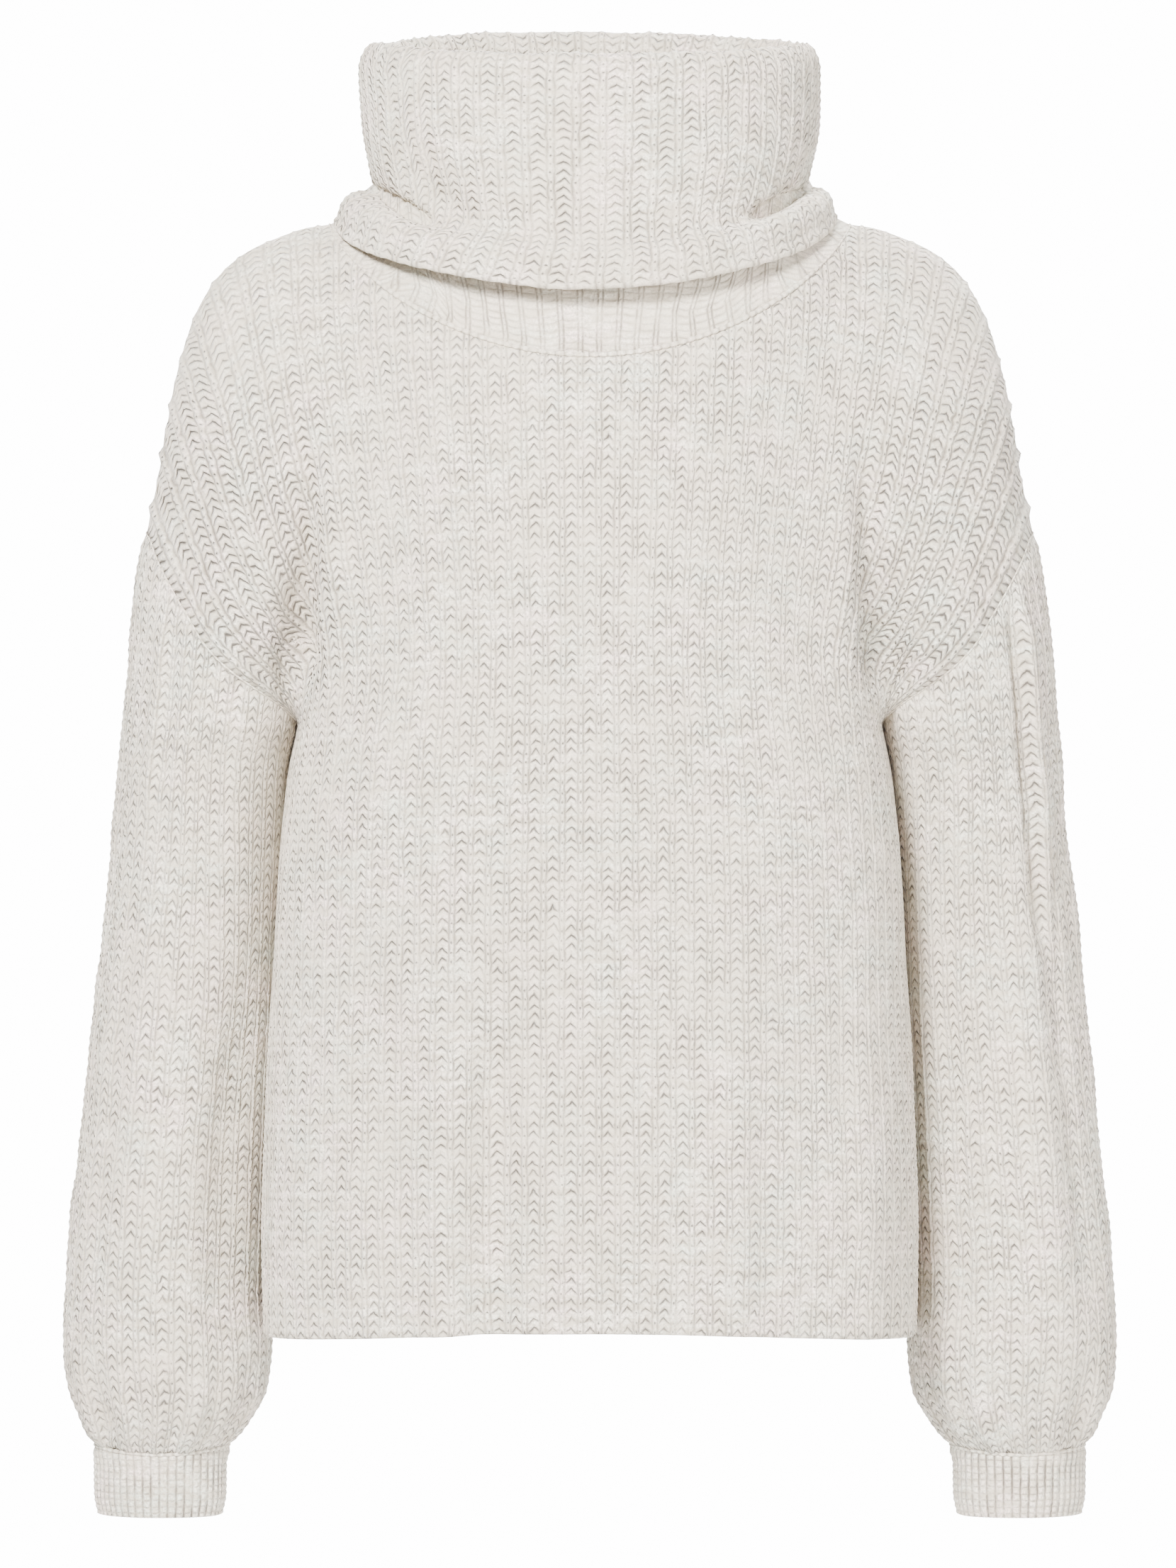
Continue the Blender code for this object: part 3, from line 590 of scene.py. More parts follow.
def yoke(panel, s, t):
    """A panel above the underarm. Its outer ribs are drawn to the armhole, and a valley lies beside the arm."""
    points = rib_paths(panel, s, t)
    drawn = armhole(armhole_angles(panel_shares(panel, t))) - rib_paths(panel, np.array([1.0]), t)[0]
    for side, near in (("right", 0.30 - s), ("left", s - 0.70)):
        weight = ease(near / 0.30) ** 1.2
        points = points + weight[:, None, None] * (drawn * MIRROR[side])[None]
    z = points[..., 2]
    off = (np.abs(points[..., 0]) - through(VALLEY, "height", "x", z)) / through(VALLEY, "height", "width", z)
    inward = through(VALLEY, "height", "depth", z) * np.exp(-off * off) * ease(t / 0.25)[None, :]
    free = ease((1 - np.maximum(s, 1 - s)) / 0.06)[:, None]
    points[..., 1] -= FACING[panel] * inward * free * ease((1 - t) / 0.3)[None, :]
    return points


def body_fold(fold, points, fade_top, fade_bottom):
    """How deep a body fold is at these points. It sets in over these lengths from its ends."""
    z = points[..., 2]
    off = (points[..., 0] - fold.x - fold.lean * (z - fold.top)) / fold.width
    zone = Zone(fold.bottom, fade_bottom, fold.top, fade_top)
    return fold.depth * within(z, zone) * np.exp(-off * off)


def panel_points(panel, s, levels):
    """A body panel's outer face. Levels 0 to 1 climb from the hem to the underarm, and 1 to 2 to the top."""
    low = levels[levels <= 1]
    high = levels[levels > 1] - 1
    hem = HEM_SIDE + (HEM_LIFT * np.sin(np.pi * s) ** 2 if panel == "front" else 0 * s)
    height = hem[:, None] + (UNDERARM - hem)[:, None] * low[None, :]
    lower = np.stack([torso(panel, s, height[:, k]) for k in range(len(low))], axis=1)
    points = np.concatenate([lower, yoke(panel, s, high)], axis=1)
    edge = ease((1 - np.abs(2 * s - 1)) / 0.1)[:, None]
    for fold in BODY_FOLDS:
        if fold.panel == panel:
            points[..., 1] -= FACING[panel] * edge * body_fold(fold, points, *FOLD_ENDS)
    return points


def sleeve_fold(fold, degrees, height):
    """How deep a sleeve's fold is at these angles and heights."""
    down = np.clip((fold.top - height) / (fold.top - fold.bottom), 0, 1)
    off = off_angle(degrees, fold.angle + fold.drift * down) / fold.width
    return fold.depth * ease(down / 0.3) * ease((1 - down) / 0.25) * np.exp(-off * off)


def sleeve_points(side, share, levels):
    """A sleeve's outer face at +X, with one side's folds, from the armhole (level 0) to the cuff seam (1)."""
    start = armhole_angles(share)[:, None]
    angle = start + (2 * np.pi * share[:, None] - start) * ease(levels / 0.5)[None, :]
    top = armhole_height(start)
    height = top + (SLEEVE_END - top) * levels[None, :]
    points = sleeve_tube(angle, height)
    out = unit(points - sleeve_middle(height)[0])
    degrees = np.degrees(angle)
    for fold in SLEEVE_FOLDS:
        if fold.sleeve == side:
            points -= sleeve_fold(fold, degrees, height)[..., None] * out
    drawn = armhole(start) - sleeve_tube(start, top)
    return points + drawn * (1 - ease(levels / 0.2))[None, :, None]


def cuff_points(angle, levels):
    """The outer face of the cuff at +X, from its seam (level 0) down to its free edge (level 1)."""
    height = CUFF[0].height + (CUFF[-1].height - CUFF[0].height) * levels
    x = CUFF_MIDDLE_X + np.cos(angle)[:, None] * through(CUFF, "height", "half_width", height)
    y = CUFF_MIDDLE_Y - np.sin(angle)[:, None] * through(CUFF, "height", "half_depth", height)
    return lay_out(x, y, height[None, :])


def neck_angles(share):
    """Angles on the neckline at shares round it from the front's middle, evenly spaced across each panel."""
    quarter = np.floor(share * 4)
    part = share * 4 - quarter
    rising = np.arcsin(part)
    falling = np.arccos(1 - part)
    return quarter * np.pi / 2 + np.where(quarter % 2 == 0, rising, falling)


def collar_fold(fold, degrees, levels, lean=0.0):
    """How deep a collar's fold is at these angles and levels."""
    off = off_angle(degrees, fold.angle)
    up = (levels - fold.level) / fold.spread - lean * off
    return fold.depth * np.exp(-((off / fold.width) ** 2) - up * up)


def collar_points(share, levels):
    """The collar's ribbed face. Level 0 is the neckline, and each whole level is a ring of the table."""
    start = neck_angles(share)[:, None]
    angle = start + (2 * np.pi * share[:, None] - start) * ease(levels / 3)[None, :]
    c = np.cos(angle)
    seam = neckline(start) - WALL * neckline_normal(start)
    at = [RingAt(k + 1, *ring) for k, ring in enumerate(COLLAR)]
    ring = {name: through(at, "level", name, np.maximum(levels, 1))[None, :] for name in Ring._fields}
    depth = np.where(c > 0, ring["front"], ring["back"])
    drop = np.where(c > 0, ring["z_front"], ring["z_back"]) - ring["z_side"]
    z = ring["z_side"] + drop * np.abs(c) ** COLLAR_DIP_POWER
    points = lay_out(ring["half_width"] * np.sin(angle), -depth * c, z)
    first = 1 - ease(levels)[None, :, None]
    points = points * (1 - first) + seam * first
    out = unit(lay_out(np.sin(angle), -c, 0.3))
    for fold in COLLAR_FOLDS:
        points -= collar_fold(fold, np.degrees(angle), levels[None, :])[..., None] * out
    return points


def way_round(points):
    """The way on at each column of a closed row of columns."""
    return np.roll(points, -1, axis=0) - np.roll(points, 1, axis=0)


def face_normals(points, closed):
    """Normals of a grid of points, out of the cloth where its columns run anticlockwise from above."""
    across = way_round(points) if closed else np.gradient(points, axis=0)
    return unit(np.cross(across, np.gradient(points, axis=1)))


def beside_seam(seam, seam_out, cloth):
    """A closed seam's points, moved by half its gap to the side that the cloth lies on."""
    square = unit(np.cross(way_round(seam), seam_out))
    square *= np.sign((square * (cloth - seam)).sum(-1))[:, None]
    return seam + square * SEAM_GAP / 2


def toward(direction, seam_normals, points):
    """Unit vectors in the cloth, square to its edge, on the side that direction points to."""
    square = unit(np.cross(np.gradient(points, axis=0), seam_normals))
    return square * np.sign((square * direction).sum(-1))[:, None]


def linear(hex_colour):
    """An sRGB hex colour as linear red, green, blue and alpha."""
    parts = [int(hex_colour[i : i + 2], 16) / 255 for i in (0, 2, 4)]
    return [p / 12.92 if p <= 0.04045 else ((p + 0.055) / 1.055) ** 2.4 for p in parts] + [1.0]


def uneven(points, size, seed):
    """A smooth field from about -1 to 1 over points, whose swells are about this many millimetres across."""
    dice = np.random.default_rng(seed)
    field = np.zeros(points.shape[:-1])
    for _ in range(7):
        direction = unit(dice.normal(size=3))
        pitch = size * dice.uniform(0.7, 1.6)
        field += np.sin(points @ direction * (2 * np.pi / pitch) + dice.uniform(0, 2 * np.pi))
    return field / 3.2


def knit_relief(u, v):
    """Heights from 0 to 1 over a half-cardigan rib: narrow smooth crests between columns of chevrons."""
    r = 0.5 - np.abs(u % 1 - 0.5)
    crest = ease((r - 0.24) / 0.22)
    cushion = 0.34 * (1 - (np.minimum(r, 0.3) / 0.3) ** 2)
    legs = 0.5 + 0.5 * np.cos(2 * np.pi * (v + 2.0 * r))
    return crest * (0.86 + 0.14 * np.cos(2 * np.pi * v)) + (1 - crest) * (cushion + 0.3 * legs)


def crest_band(u):
    """The reverse face's flat welts, one to a rib."""
    r = 0.5 - np.abs(u % 1 - 0.5)
    return ease((r - 0.22) / 0.16)


def by_course(points, normals, pitch):
    """Moves a grid's rows to even steps up every rib. Also gives how far up they lie, and each rib's length."""
    grid = np.concatenate([points, normals], axis=-1)
    length = run_length(points, axis=1)
    total = length[:, -1:]
    count = int(np.ceil(total.max() / pitch * ROWS_PER_COURSE)) + 1
    k = np.arange(count)
    at = np.minimum(k * pitch / ROWS_PER_COURSE, total - (count - 1 - k) * SLIVER)
    at[:, -1] = total[:, 0]
    rows = np.stack([read_off(*column) for column in zip(grid, length, at)])
    rows[..., 3:] = unit(rows[..., 3:])
    return rows, at, total


def marched(first, second):
    """Triangles between two runs of vertices that start and end together."""
    faces = []
    i = j = 0
    while i < len(first) - 1 or j < len(second) - 1:
        ahead_i = (i + 1) / (len(first) - 1)
        ahead_j = (j + 1) / (len(second) - 1)
        if j == len(second) - 1 or (i < len(first) - 1 and ahead_i <= ahead_j):
            faces.append((first[i], first[i + 1], second[j]))
            i += 1
        else:
            faces.append((first[i], second[j + 1], second[j]))
            j += 1
    return faces


def rim(outer, inner, at, beside, bulge):
    """Rows of points over an edge of the cloth, from its face to its inside."""
    ahead = unit(outer[:, at] - outer[:, beside])
    across = inner[:, at] - outer[:, at]
    rise = bulge * np.sin(np.pi * RIM_SHARES)
    flat = outer[:, at][:, None] + across[:, None] * RIM_SHARES[None, :, None]
    return flat + ahead[:, None] * rise[None, :, None]


def knitted(name, rows, lift, u, v, closed, edges, slack=0.0, inside_lift=None):
    """A closed shell of knitted cloth from rows of points and normals, with its stitch and bake UV maps.

    The rows run round the cloth's section: up its face, over the top edge, down its inside and back. Where the
    inside has welts of its own, it is the reverse face and takes the second material.
    """
    columns, count = rows.shape[:2]
    points = rows[..., :3]
    normals = rows[..., 3:]
    outer = points + normals * lift[..., None]
    kept = np.unique(np.append(np.arange(0, count, INSIDE_EVERY), count - 1))
    inward = WALL if inside_lift is None else (WALL + inside_lift[:, kept])[..., None]
    inner = points[:, kept] - normals[:, kept] * inward
    top = rim(outer, inner, -1, -2, edges[1])
    bottom = rim(outer, inner, 0, 1, edges[0])
    rims = len(RIM_SHARES)
    loop = np.concatenate([outer, top, inner[:, ::-1], bottom[:, ::-1]], axis=1) * MM
    v_loop = np.concatenate([v, v[:, [-1] * rims], v[:, kept][:, ::-1], v[:, [0] * rims]], axis=1)
    total = loop.shape[1]
    index = np.arange(columns * total).reshape(columns, total)
    strips = columns if closed else columns - 1
    ii, kk = np.meshgrid(np.arange(strips), np.arange(total), indexing="ij")
    corners = ((ii, kk), (ii + 1, kk), (ii + 1, kk + 1), (ii, kk + 1))
    quads = np.stack([index[i % columns, k % total] for i, k in corners], axis=-1).reshape(-1, 4)
    u_round = np.append(u, 2 * u[-1] - u[-2])
    v_round = np.concatenate([v_loop, v_loop[:1]])
    stitch = np.stack([lay_out(u_round[i], v_round[i, k % total]) for i, k in corners], axis=2).reshape(-1, 2)
    wide = 0.98 / strips
    bake = np.stack([lay_out(i * wide, k / total) for i, k in corners], axis=2).reshape(-1, 2)
    caps = []
    if not closed:
        ends = marched(range(count), range(total - 3, count + 2, -1))
        ends += [tuple(range(count - 1, count + 4)), (total - 4, total - 3, total - 2, total - 1, 0)]
        caps = [tuple(index[0, list(face)]) for face in ends]
        caps += [tuple(index[-1, list(face[::-1])]) for face in ends]
    cloth = finish_mesh(name, loop.reshape(-1, 3), quads, caps, stitch, bake)
    pulled = np.zeros((columns, total))
    pulled[:, :count] = slack
    cloth.data.attributes.new("pulled_open", "FLOAT", "POINT").data.foreach_set("value", pulled.ravel())
    if inside_lift is not None:
        cloth.data.polygons.foreach_set("material_index", (kk > count + 2).ravel().astype(np.int32))
    return cloth


def finish_mesh(name, points, quads, caps, stitch, bake):
    """Makes the mesh object, turned outward, with one patch of the bake map for each cap face."""
    a, b, c, d = (points[quads[:, corner]] for corner in range(4))
    volume = (np.cross(a, b) * c).sum() + (np.cross(a, c) * d).sum()
    mesh = bpy.data.meshes.new(name)
    mesh.from_pydata(points.tolist(), [], [tuple(quad) for quad in quads] + caps)
    spots = np.zeros((0, 2))
    for n, face in enumerate(caps):
        turn = 2 * np.pi * np.arange(len(face)) / len(face)
        spot = lay_out(0.99 + 0.003 * np.cos(turn), (n + 0.5 + 0.3 * np.sin(turn)) / len(caps))
        spots = np.concatenate([spots, spot])
    for map_name, values, own in (("OFBake", bake, spots), ("stitches", stitch, np.zeros_like(spots))):
        mesh.uv_layers.new(name=map_name).data.foreach_set("uv", np.concatenate([values, own]).ravel())
    if volume < 0:
        mesh.flip_normals()
    mesh.shade_smooth()
    mesh.update()
    cloth = bpy.data.objects.new(name, mesh)
    bpy.context.scene.collection.objects.link(cloth)
    return cloth


def evened(points, levels):
    """Spreads the yoke's quick turns beside the neck over a few ribs, but leaves the seams where they are."""
    smooth = points.copy()
    for _ in range(10):
        for step in (3, 5):
            smooth[step:-step] = (smooth[: -2 * step] + smooth[step:-step] + smooth[2 * step :]) / 3
    side = ease((1 - np.abs(np.linspace(-1, 1, len(points)))) / 0.2)[:, None]
    share = (ease((levels - 1) / 0.2) * ease((2 - levels) / 0.3))[None, :] * side
    return points + (smooth - points) * share[..., None]


def swell(points, amount, seed):
    """The soft unevenness of worn knitwear, in millimetres out of the cloth."""
    return amount * (0.65 * uneven(points, 95, seed) + 0.35 * uneven(points, 34, seed + 1))


def with_folds(points, normals, panel):
    """Adds a body panel's fine folds to its fine grid."""
    for fold in FINE_BODY_FOLDS:
        if fold.panel == panel:
            points = points - normals * body_fold(fold, points, *FINE_FOLD_ENDS)[..., None]
    return points


def body_cloth(panel, knit):
    """The front or the back, from the same surface as its solid."""
    pitch = knit.body_course / MM
    s = np.linspace(0, 1, COLUMNS_PER_RIB * BODY_RIBS + 1)
    to_side = np.abs(2 * s - 1)
    levels = np.linspace(0, 2, BASE_LEVELS)
    points = evened(panel_points(panel, s, levels), levels)
    normals = face_normals(points, closed=False) * -FACING[panel]
    free = ease((1 - to_side) / 0.09)[:, None]
    points = with_folds(points, normals * free[..., None], panel)
    amount = swell(points, knit.unevenness / MM, SEEDS[panel]) * free
    points = points + normals * (amount * ease((2 - levels) / 0.12)[None, :])[..., None]
    _, top_out, _ = top_edge(panel, s)
    length = run_length(points, axis=1)
    normals = turned(normals, top_out[:, None], ease((length[:, -1:] - length)[..., None] / SEAM_REACH))
    high = levels > 1
    seam_out = np.tile([1.0, 0, 0], (len(levels), 1))
    seam_out[high] = armhole_normal(armhole_angles(panel_shares(panel, levels[high] - 1)))
    for side, own, own_normals in (("right", points, normals), ("left", points[::-1], normals[::-1])):
        for n in range(EDGE_COLUMNS):
            own_normals[n] = turned(own_normals[n], seam_out * MIRROR[side], ease(n / EDGE_COLUMNS))
        inward = toward(own[1] - own[0], own_normals[0], own[0])
        own[0, high] += inward[high] * SEAM_GAP / 2
        own[0, ~high, 1] += FACING[panel] * SEAM_GAP / 2
    points[:, -1] += toward(points[:, -2] - points[:, -1], top_out, points[:, -1]) * SEAM_GAP / 2
    rows, at, total = by_course(points, normals, pitch)
    v = at / pitch
    u = s * BODY_RIBS
    pressed = 1 - PRESSED_BY * ease((to_side - 0.84) / 0.1)[:, None] * within(rows[..., 2], BESIDE_ARM)
    stretched = ease((to_side - 0.55) / 0.15)[:, None] * within(rows[..., 2], DROP_SHOULDER)
    sewn = ease((total - at) / SEWN_REACH) * ease(np.minimum(u, BODY_RIBS - u) / 0.5)[:, None]
    height = knit.rib_height / MM * pressed * sewn * (1 + STRETCHED_BY * stretched)
    relief = knit_relief(u[:, None], v) * height
    edges = (HEM_BULGE, 0.0)
    return knitted(f"{panel}_cloth", rows, relief, u, v, closed=False, edges=edges, slack=stretched)


def cuff_dip(angle):
    """How far the sleeve sags over the front of its cuff, in millimetres."""
    return 3.5 * np.maximum(np.sin(angle), 0) ** 2


def sleeve_cloth(side, knit):
    """A sleeve, knitted from the cuff up to the low armhole and gathered into the cuff."""
    pitch = knit.sleeve_course / MM
    columns = COLUMNS_PER_RIB * SLEEVE_RIBS
    share = np.arange(columns) / columns
    levels = np.linspace(0, 1, BASE_LEVELS)
    angle = 2 * np.pi * share
    degrees = np.degrees(angle)[:, None]
    radial = arm_out(angle)[:, None]
    points = sleeve_points(side, share, levels)
    points[..., 2] -= cuff_dip(angle)[:, None] * ease((SAGS_BELOW - points[..., 2]) / 32)
    height = points[..., 2]
    normals = face_normals(points, closed=True)
    normals *= np.sign((normals * radial).sum(-1).mean())
    inner_side = 1 - ease((np.abs(degrees - 180) - 35) / 25)
    free = (1 - inner_side) * ease(levels / 0.08)[None, :] * ease((1 - levels) / 0.05)[None, :]
    for fold in FINE_SLEEVE_FOLDS:
        if fold.sleeve == side:
            points = points - normals * (sleeve_fold(fold, degrees, height) * free)[..., None]
    seed = SEEDS[side]
    gathers = np.cos(angle * 13 + 1.3 * np.sin(2 * angle + seed)) + 0.6 * np.cos(angle * 8 + seed)
    close = ease((GATHERS_BELOW - height) / 44) * (0.25 + 0.75 * ease((height - SLEEVE_END) / 9))
    amount = swell(points, knit.unevenness / MM, seed) * free
    amount = amount + knit.gather / MM * gathers[:, None] * close * (1 - 0.6 * inner_side)
    points = points + normals * amount[..., None]
    start = armhole_angles(share)
    seam_out = armhole_normal(start)
    points[:, 0] = beside_seam(armhole(start), seam_out, points[:, 2])
    points[:, -1, 2] += SEAM_GAP / 2
    length = run_length(points, axis=1)[..., None]
    normals = turned(normals, seam_out[:, None], ease(length / SEAM_REACH))
    normals = turned(normals, radial, ease((length[:, -1:] - length) / SEAM_REACH))
    rows, at, total = by_course(points[:, ::-1], normals[:, ::-1], pitch)
    v = at / pitch
    u = share * SLEEVE_RIBS
    pressed = 1 - PRESSED_BY * inner_side * ease((at - total * 0.55) / 60)
    sewn = ease((total - at) / SEWN_REACH) * ease(at / 2.5)
    relief = knit_relief(u[:, None], v) * knit.rib_height / MM * pressed * sewn
    rows = rows * np.tile(MIRROR[side], 2)
    return knitted(f"sleeve_{side}_cloth", rows, relief, u, v, closed=True, edges=(0.0, 0.0))


def cuff_cloth(side, knit):
    """A cuff in fine rib."""
    pitch = knit.cuff_course / MM
    columns = COLUMNS_PER_RIB * FINE_CUFF_RIBS
    angle = np.arange(columns) / columns * 2 * np.pi
    levels = np.linspace(0, 1, 40)
    normals = np.repeat(arm_out(angle)[:, None], len(levels), axis=1)
    wave = 0.7 * np.sin(3 * angle + 1) + 0.5 * np.sin(5 * angle + 2) - 1.6
    points = cuff_points(angle, levels) + normals * (wave[:, None] * ease(levels / 0.3)[None, :])[..., None]
    points[:, 0, 2] -= SEAM_GAP / 2
    points[..., 2] -= cuff_dip(angle)[:, None] * (1 - ease(levels / 0.6))
    rows, at, total = by_course(points[:, ::-1], normals[:, ::-1], pitch)
    v = at / pitch
    u = np.arange(columns) / COLUMNS_PER_RIB
    sewn = ease((total - at) / CUFF_SEWN_REACH)
    relief = knit_relief(u[:, None], v) * CUFF_RIB_SHARE * knit.rib_height / MM * sewn
    rows = rows * np.tile(MIRROR[side], 2)
    return knitted(f"cuff_{side}_cloth", rows, relief, u, v, closed=True, edges=(CUFF_BULGE, 0.0))


def collar_cloth(knit):
    """The cowl: one tube from its free edge outside, up over the fold and down inside to the neckline."""
    pitch = knit.collar_course / MM
    columns = COLUMNS_PER_RIB * COLLAR_RIBS
    share = np.arange(columns) / columns
    degrees = 360 * share[:, None]
    levels = np.linspace(0, len(COLLAR) - 0.45, BASE_LEVELS)
    points = collar_points(share, levels)
    hung = ease((levels - COWL_HANGS_FROM) / 1.1)[None, :]
    points[..., 0] -= COWL_SHIFT * hung
    for sag in COWL_SAGS:
        points[..., 2] -= sag.drop * hung * np.exp(-(((degrees - sag.angle) / sag.width) ** 2))
    normals = face_normals(points, closed=True)
    outward = lay_out(np.sin(2 * np.pi * share), -np.cos(2 * np.pi * share), 0.0)
    outer_row = int(BASE_LEVELS * 7 / 11)
    normals *= np.sign((normals[:, outer_row] * outward).sum(-1).mean())
    seam = points[:, 0].copy()
    seam_out = -neckline_normal(neck_angles(share))
    amount = swell(points, 0.8 * knit.unevenness / MM, SEEDS["collar"]) * ease(levels / 1.5)[None, :]
    length = run_length(points, axis=1)
    from_edge = length[:, -1:] - length
    rolled = 0.7 * np.exp(-(((from_edge - 15) / 9) ** 2)) - 0.7 * (1 - ease(from_edge / 9))
    amount = amount + knit.edge_roll / MM * rolled
    for fold in FINE_COLLAR_FOLDS:
        amount = amount - collar_fold(fold, degrees, levels[None, :], lean=0.02)
    points = points + normals * amount[..., None]
    points[:, 0] = beside_seam(seam, seam_out, points[:, 2])
    normals = turned(normals, seam_out[:, None], ease(run_length(points, axis=1)[..., None] / SEAM_REACH))
    rows, at, total = by_course(points[:, ::-1], normals[:, ::-1], pitch)
    v = at / pitch
    u = share * COLLAR_RIBS
    relief = knit_relief(u[:, None], v) * knit.rib_height / MM * ease((total - at) / SEWN_REACH)
    inside = 0.9 * crest_band(u)[:, None] * ease((total - at) / 4.0)
    edges = (COLLAR_BULGE, 0.0)
    return knitted("collar_cloth", rows, relief, u, v, closed=True, edges=edges, inside_lift=inside)


def linking(name, path, normals, radius, stitch):
    """A seam's row of linked loops, as a thin chain pressed into the join."""
    length = run_length(path)
    at = np.linspace(0, length[-1], int(length[-1] / stitch * ROWS_PER_LOOP) + 1)[:-1]
    line = read_off(path, length, at)
    out = unit(read_off(normals, length, at))
    radius = np.interp(at, length, np.broadcast_to(radius, len(length)))[:, None]
    across = unit(np.cross(unit(way_round(line)), out))
    loops = 0.72 + 0.28 * np.abs(np.sin(np.pi * at / stitch))[:, None]
    turn = np.arange(STRAND_SIDES) / STRAND_SIDES * 2 * np.pi
    ring = across[:, None] * np.cos(turn)[None, :, None] + out[:, None] * (0.8 * np.sin(turn))[None, :, None]
    points = ((line + 0.3 * radius * out)[:, None] + ring * (radius * loops)[:, None]) * MM
    i, k = np.meshgrid(np.arange(len(line)), np.arange(STRAND_SIDES), indexing="ij")
    corners = ((i, k), (i + 1, k), (i + 1, k + 1), (i, k + 1))
    faces = [(n % len(line)) * STRAND_SIDES + m % STRAND_SIDES for n, m in corners]
    mesh = bpy.data.meshes.new(name)
    mesh.from_pydata(points.reshape(-1, 3).tolist(), [], np.stack(faces, axis=-1).reshape(-1, 4).tolist())
    of_corner = np.empty(len(mesh.loops), np.int32)
    mesh.loops.foreach_get("vertex_index", of_corner)
    stitches = lay_out(0.12, (at / stitch)[of_corner // STRAND_SIDES])
    mesh.uv_layers.new(name="stitches").data.foreach_set("uv", stitches.ravel())
    mesh.shade_smooth()
    chain = bpy.data.objects.new(name, mesh)
    bpy.context.scene.collection.objects.link(chain)
    chain.data.materials.append(wool_of("lambswool_linking"))
    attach(chain, "root")


Step = namedtuple("Step", "name operation a b")


def peak(name, source, slope):
    """Steps that fall from 1 where the source is 0, and stop at 0."""
    return [
        Step(name + "_slope", "MULTIPLY", source, slope),
        Step(name + "_raw", "ADD", name + "_slope", 1.0),
        Step(name, "MAXIMUM", name + "_raw", 0.0),
    ]


def gaps(name, source, power):
    """Steps that rise to 1 halfway between the source's whole numbers. A higher power makes them thinner."""
    return [
        Step(name + "_between", "PINGPONG", source, 0.5),
        Step(name + "_full", "MULTIPLY", name + "_between", 2.0),
        Step(name, "POWER", name + "_full", power),
    ]


# The stitches' hollows from 0 to 1, from ribs across (u) and courses up (v), as a half-cardigan rib shows them:
# round gaps under each chevron's legs, a groove beside the smooth crest and a small slit in the crest itself.
# The bump sinks these hollows, and painted shade darkens them.
HOLLOW_STEPS = [
    Step("r", "PINGPONG", "u", 0.5),
    Step("lean", "MULTIPLY", "r", 1.9),
    Step("phase", "ADD", "v", "lean"),
    *gaps("gap_core", "phase", 3.2),
    Step("gap_wide", "MULTIPLY", "gap_core_full", 0.3),
    Step("gap", "MAXIMUM", "gap_core", "gap_wide"),
    Step("r_squared", "MULTIPLY", "r", "r"),
    *peak("depth", "r_squared", -6.4),
    Step("leg_full", "MULTIPLY", "gap", "depth"),
    Step("leg_gap", "MULTIPLY", "leg_full", 0.9),
    Step("beside", "SUBTRACT", "r", 0.35),
    Step("beside_size", "ABSOLUTE", "beside", 0.0),
    *peak("groove_full", "beside_size", -10.0),
    Step("groove", "MULTIPLY", "groove_full", 0.5),
    Step("to_crest", "SUBTRACT", 0.5, "r"),
    *peak("crest", "to_crest", -15.0),
    Step("half_up", "ADD", "v", 0.5),
    *gaps("crest_gap", "half_up", 4.0),
    Step("slit_full", "MULTIPLY", "crest", "crest_gap"),
    Step("slit", "MULTIPLY", "slit_full", 0.85),
    Step("with_groove", "MAXIMUM", "leg_gap", "groove"),
    Step("hollow", "MAXIMUM", "with_groove", "slit"),
]

# The reverse face shows flat welts, each between a pair of fine lines, with faint bars across them.
REVERSE_STEPS = [
    Step("r", "PINGPONG", "u", 0.5),
    Step("beside", "SUBTRACT", "r", 0.38),
    Step("beside_size", "ABSOLUTE", "beside", 0.0),
    *peak("line_full", "beside_size", -10.0),
    Step("line", "MULTIPLY", "line_full", 0.58),
    *gaps("bar_full", "v", 2.5),
    Step("bar", "MULTIPLY", "bar_full", 0.36),
    Step("hollow", "MAXIMUM", "line", "bar"),
]

# The cuffs' plain fine rib: a groove beside each narrow rib, with faint bars across.
CUFF_STEPS = [
    Step("r", "PINGPONG", "u", 0.5),
    *peak("groove_full", "r", -4.0),
    Step("groove", "MULTIPLY", "groove_full", 0.75),
    *gaps("bar_full", "v", 3.0),
    Step("bar", "MULTIPLY", "bar_full", 0.42),
    Step("hollow", "MAXIMUM", "groove", "bar"),
]

# The linked loops of a seam, one gap to a loop.
LINKING_STEPS = [
    Step("between", "PINGPONG", "v", 0.5),
    *peak("gap_full", "between", -2.0),
    Step("gap_thin", "POWER", "gap_full", 2.0),
    Step("hollow", "MULTIPLY", "gap_thin", 0.45),
]


def add_node(tree, kind, settings, inputs):
    """Adds a shader node, sets its own settings, and sets or links its inputs."""
    node = tree.nodes.new("ShaderNode" + kind)
    for name, value in settings.items():
        setattr(node, name, value)
    for socket, value in inputs.items():
        if isinstance(value, bpy.types.NodeSocket):
            tree.links.new(value, node.inputs[socket])
        else:
            node.inputs[socket].default_value = value
    return node


def worked(tree, kind, operation, *values):
    """A Math or VectorMath node's result."""
    return add_node(tree, kind, {"operation": operation}, dict(enumerate(values))).outputs[0]


def noise(tree, place, size, detail, roughness=0.5):
    """A noise texture whose swells are about this large, in the place's own unit."""
    settings = {"Vector": place, "Scale": 1 / size, "Detail": detail, "Roughness": roughness}
    return add_node(tree, "TexNoise", {}, settings)


def mapped(tree, value, low, high, at_low, at_high):
    """A value that runs from low to high, as one that runs from at_low to at_high."""
    ends = {"Value": value, "From Min": low, "From Max": high, "To Min": at_low, "To Max": at_high}
    return add_node(tree, "MapRange", {}, ends).outputs[0]


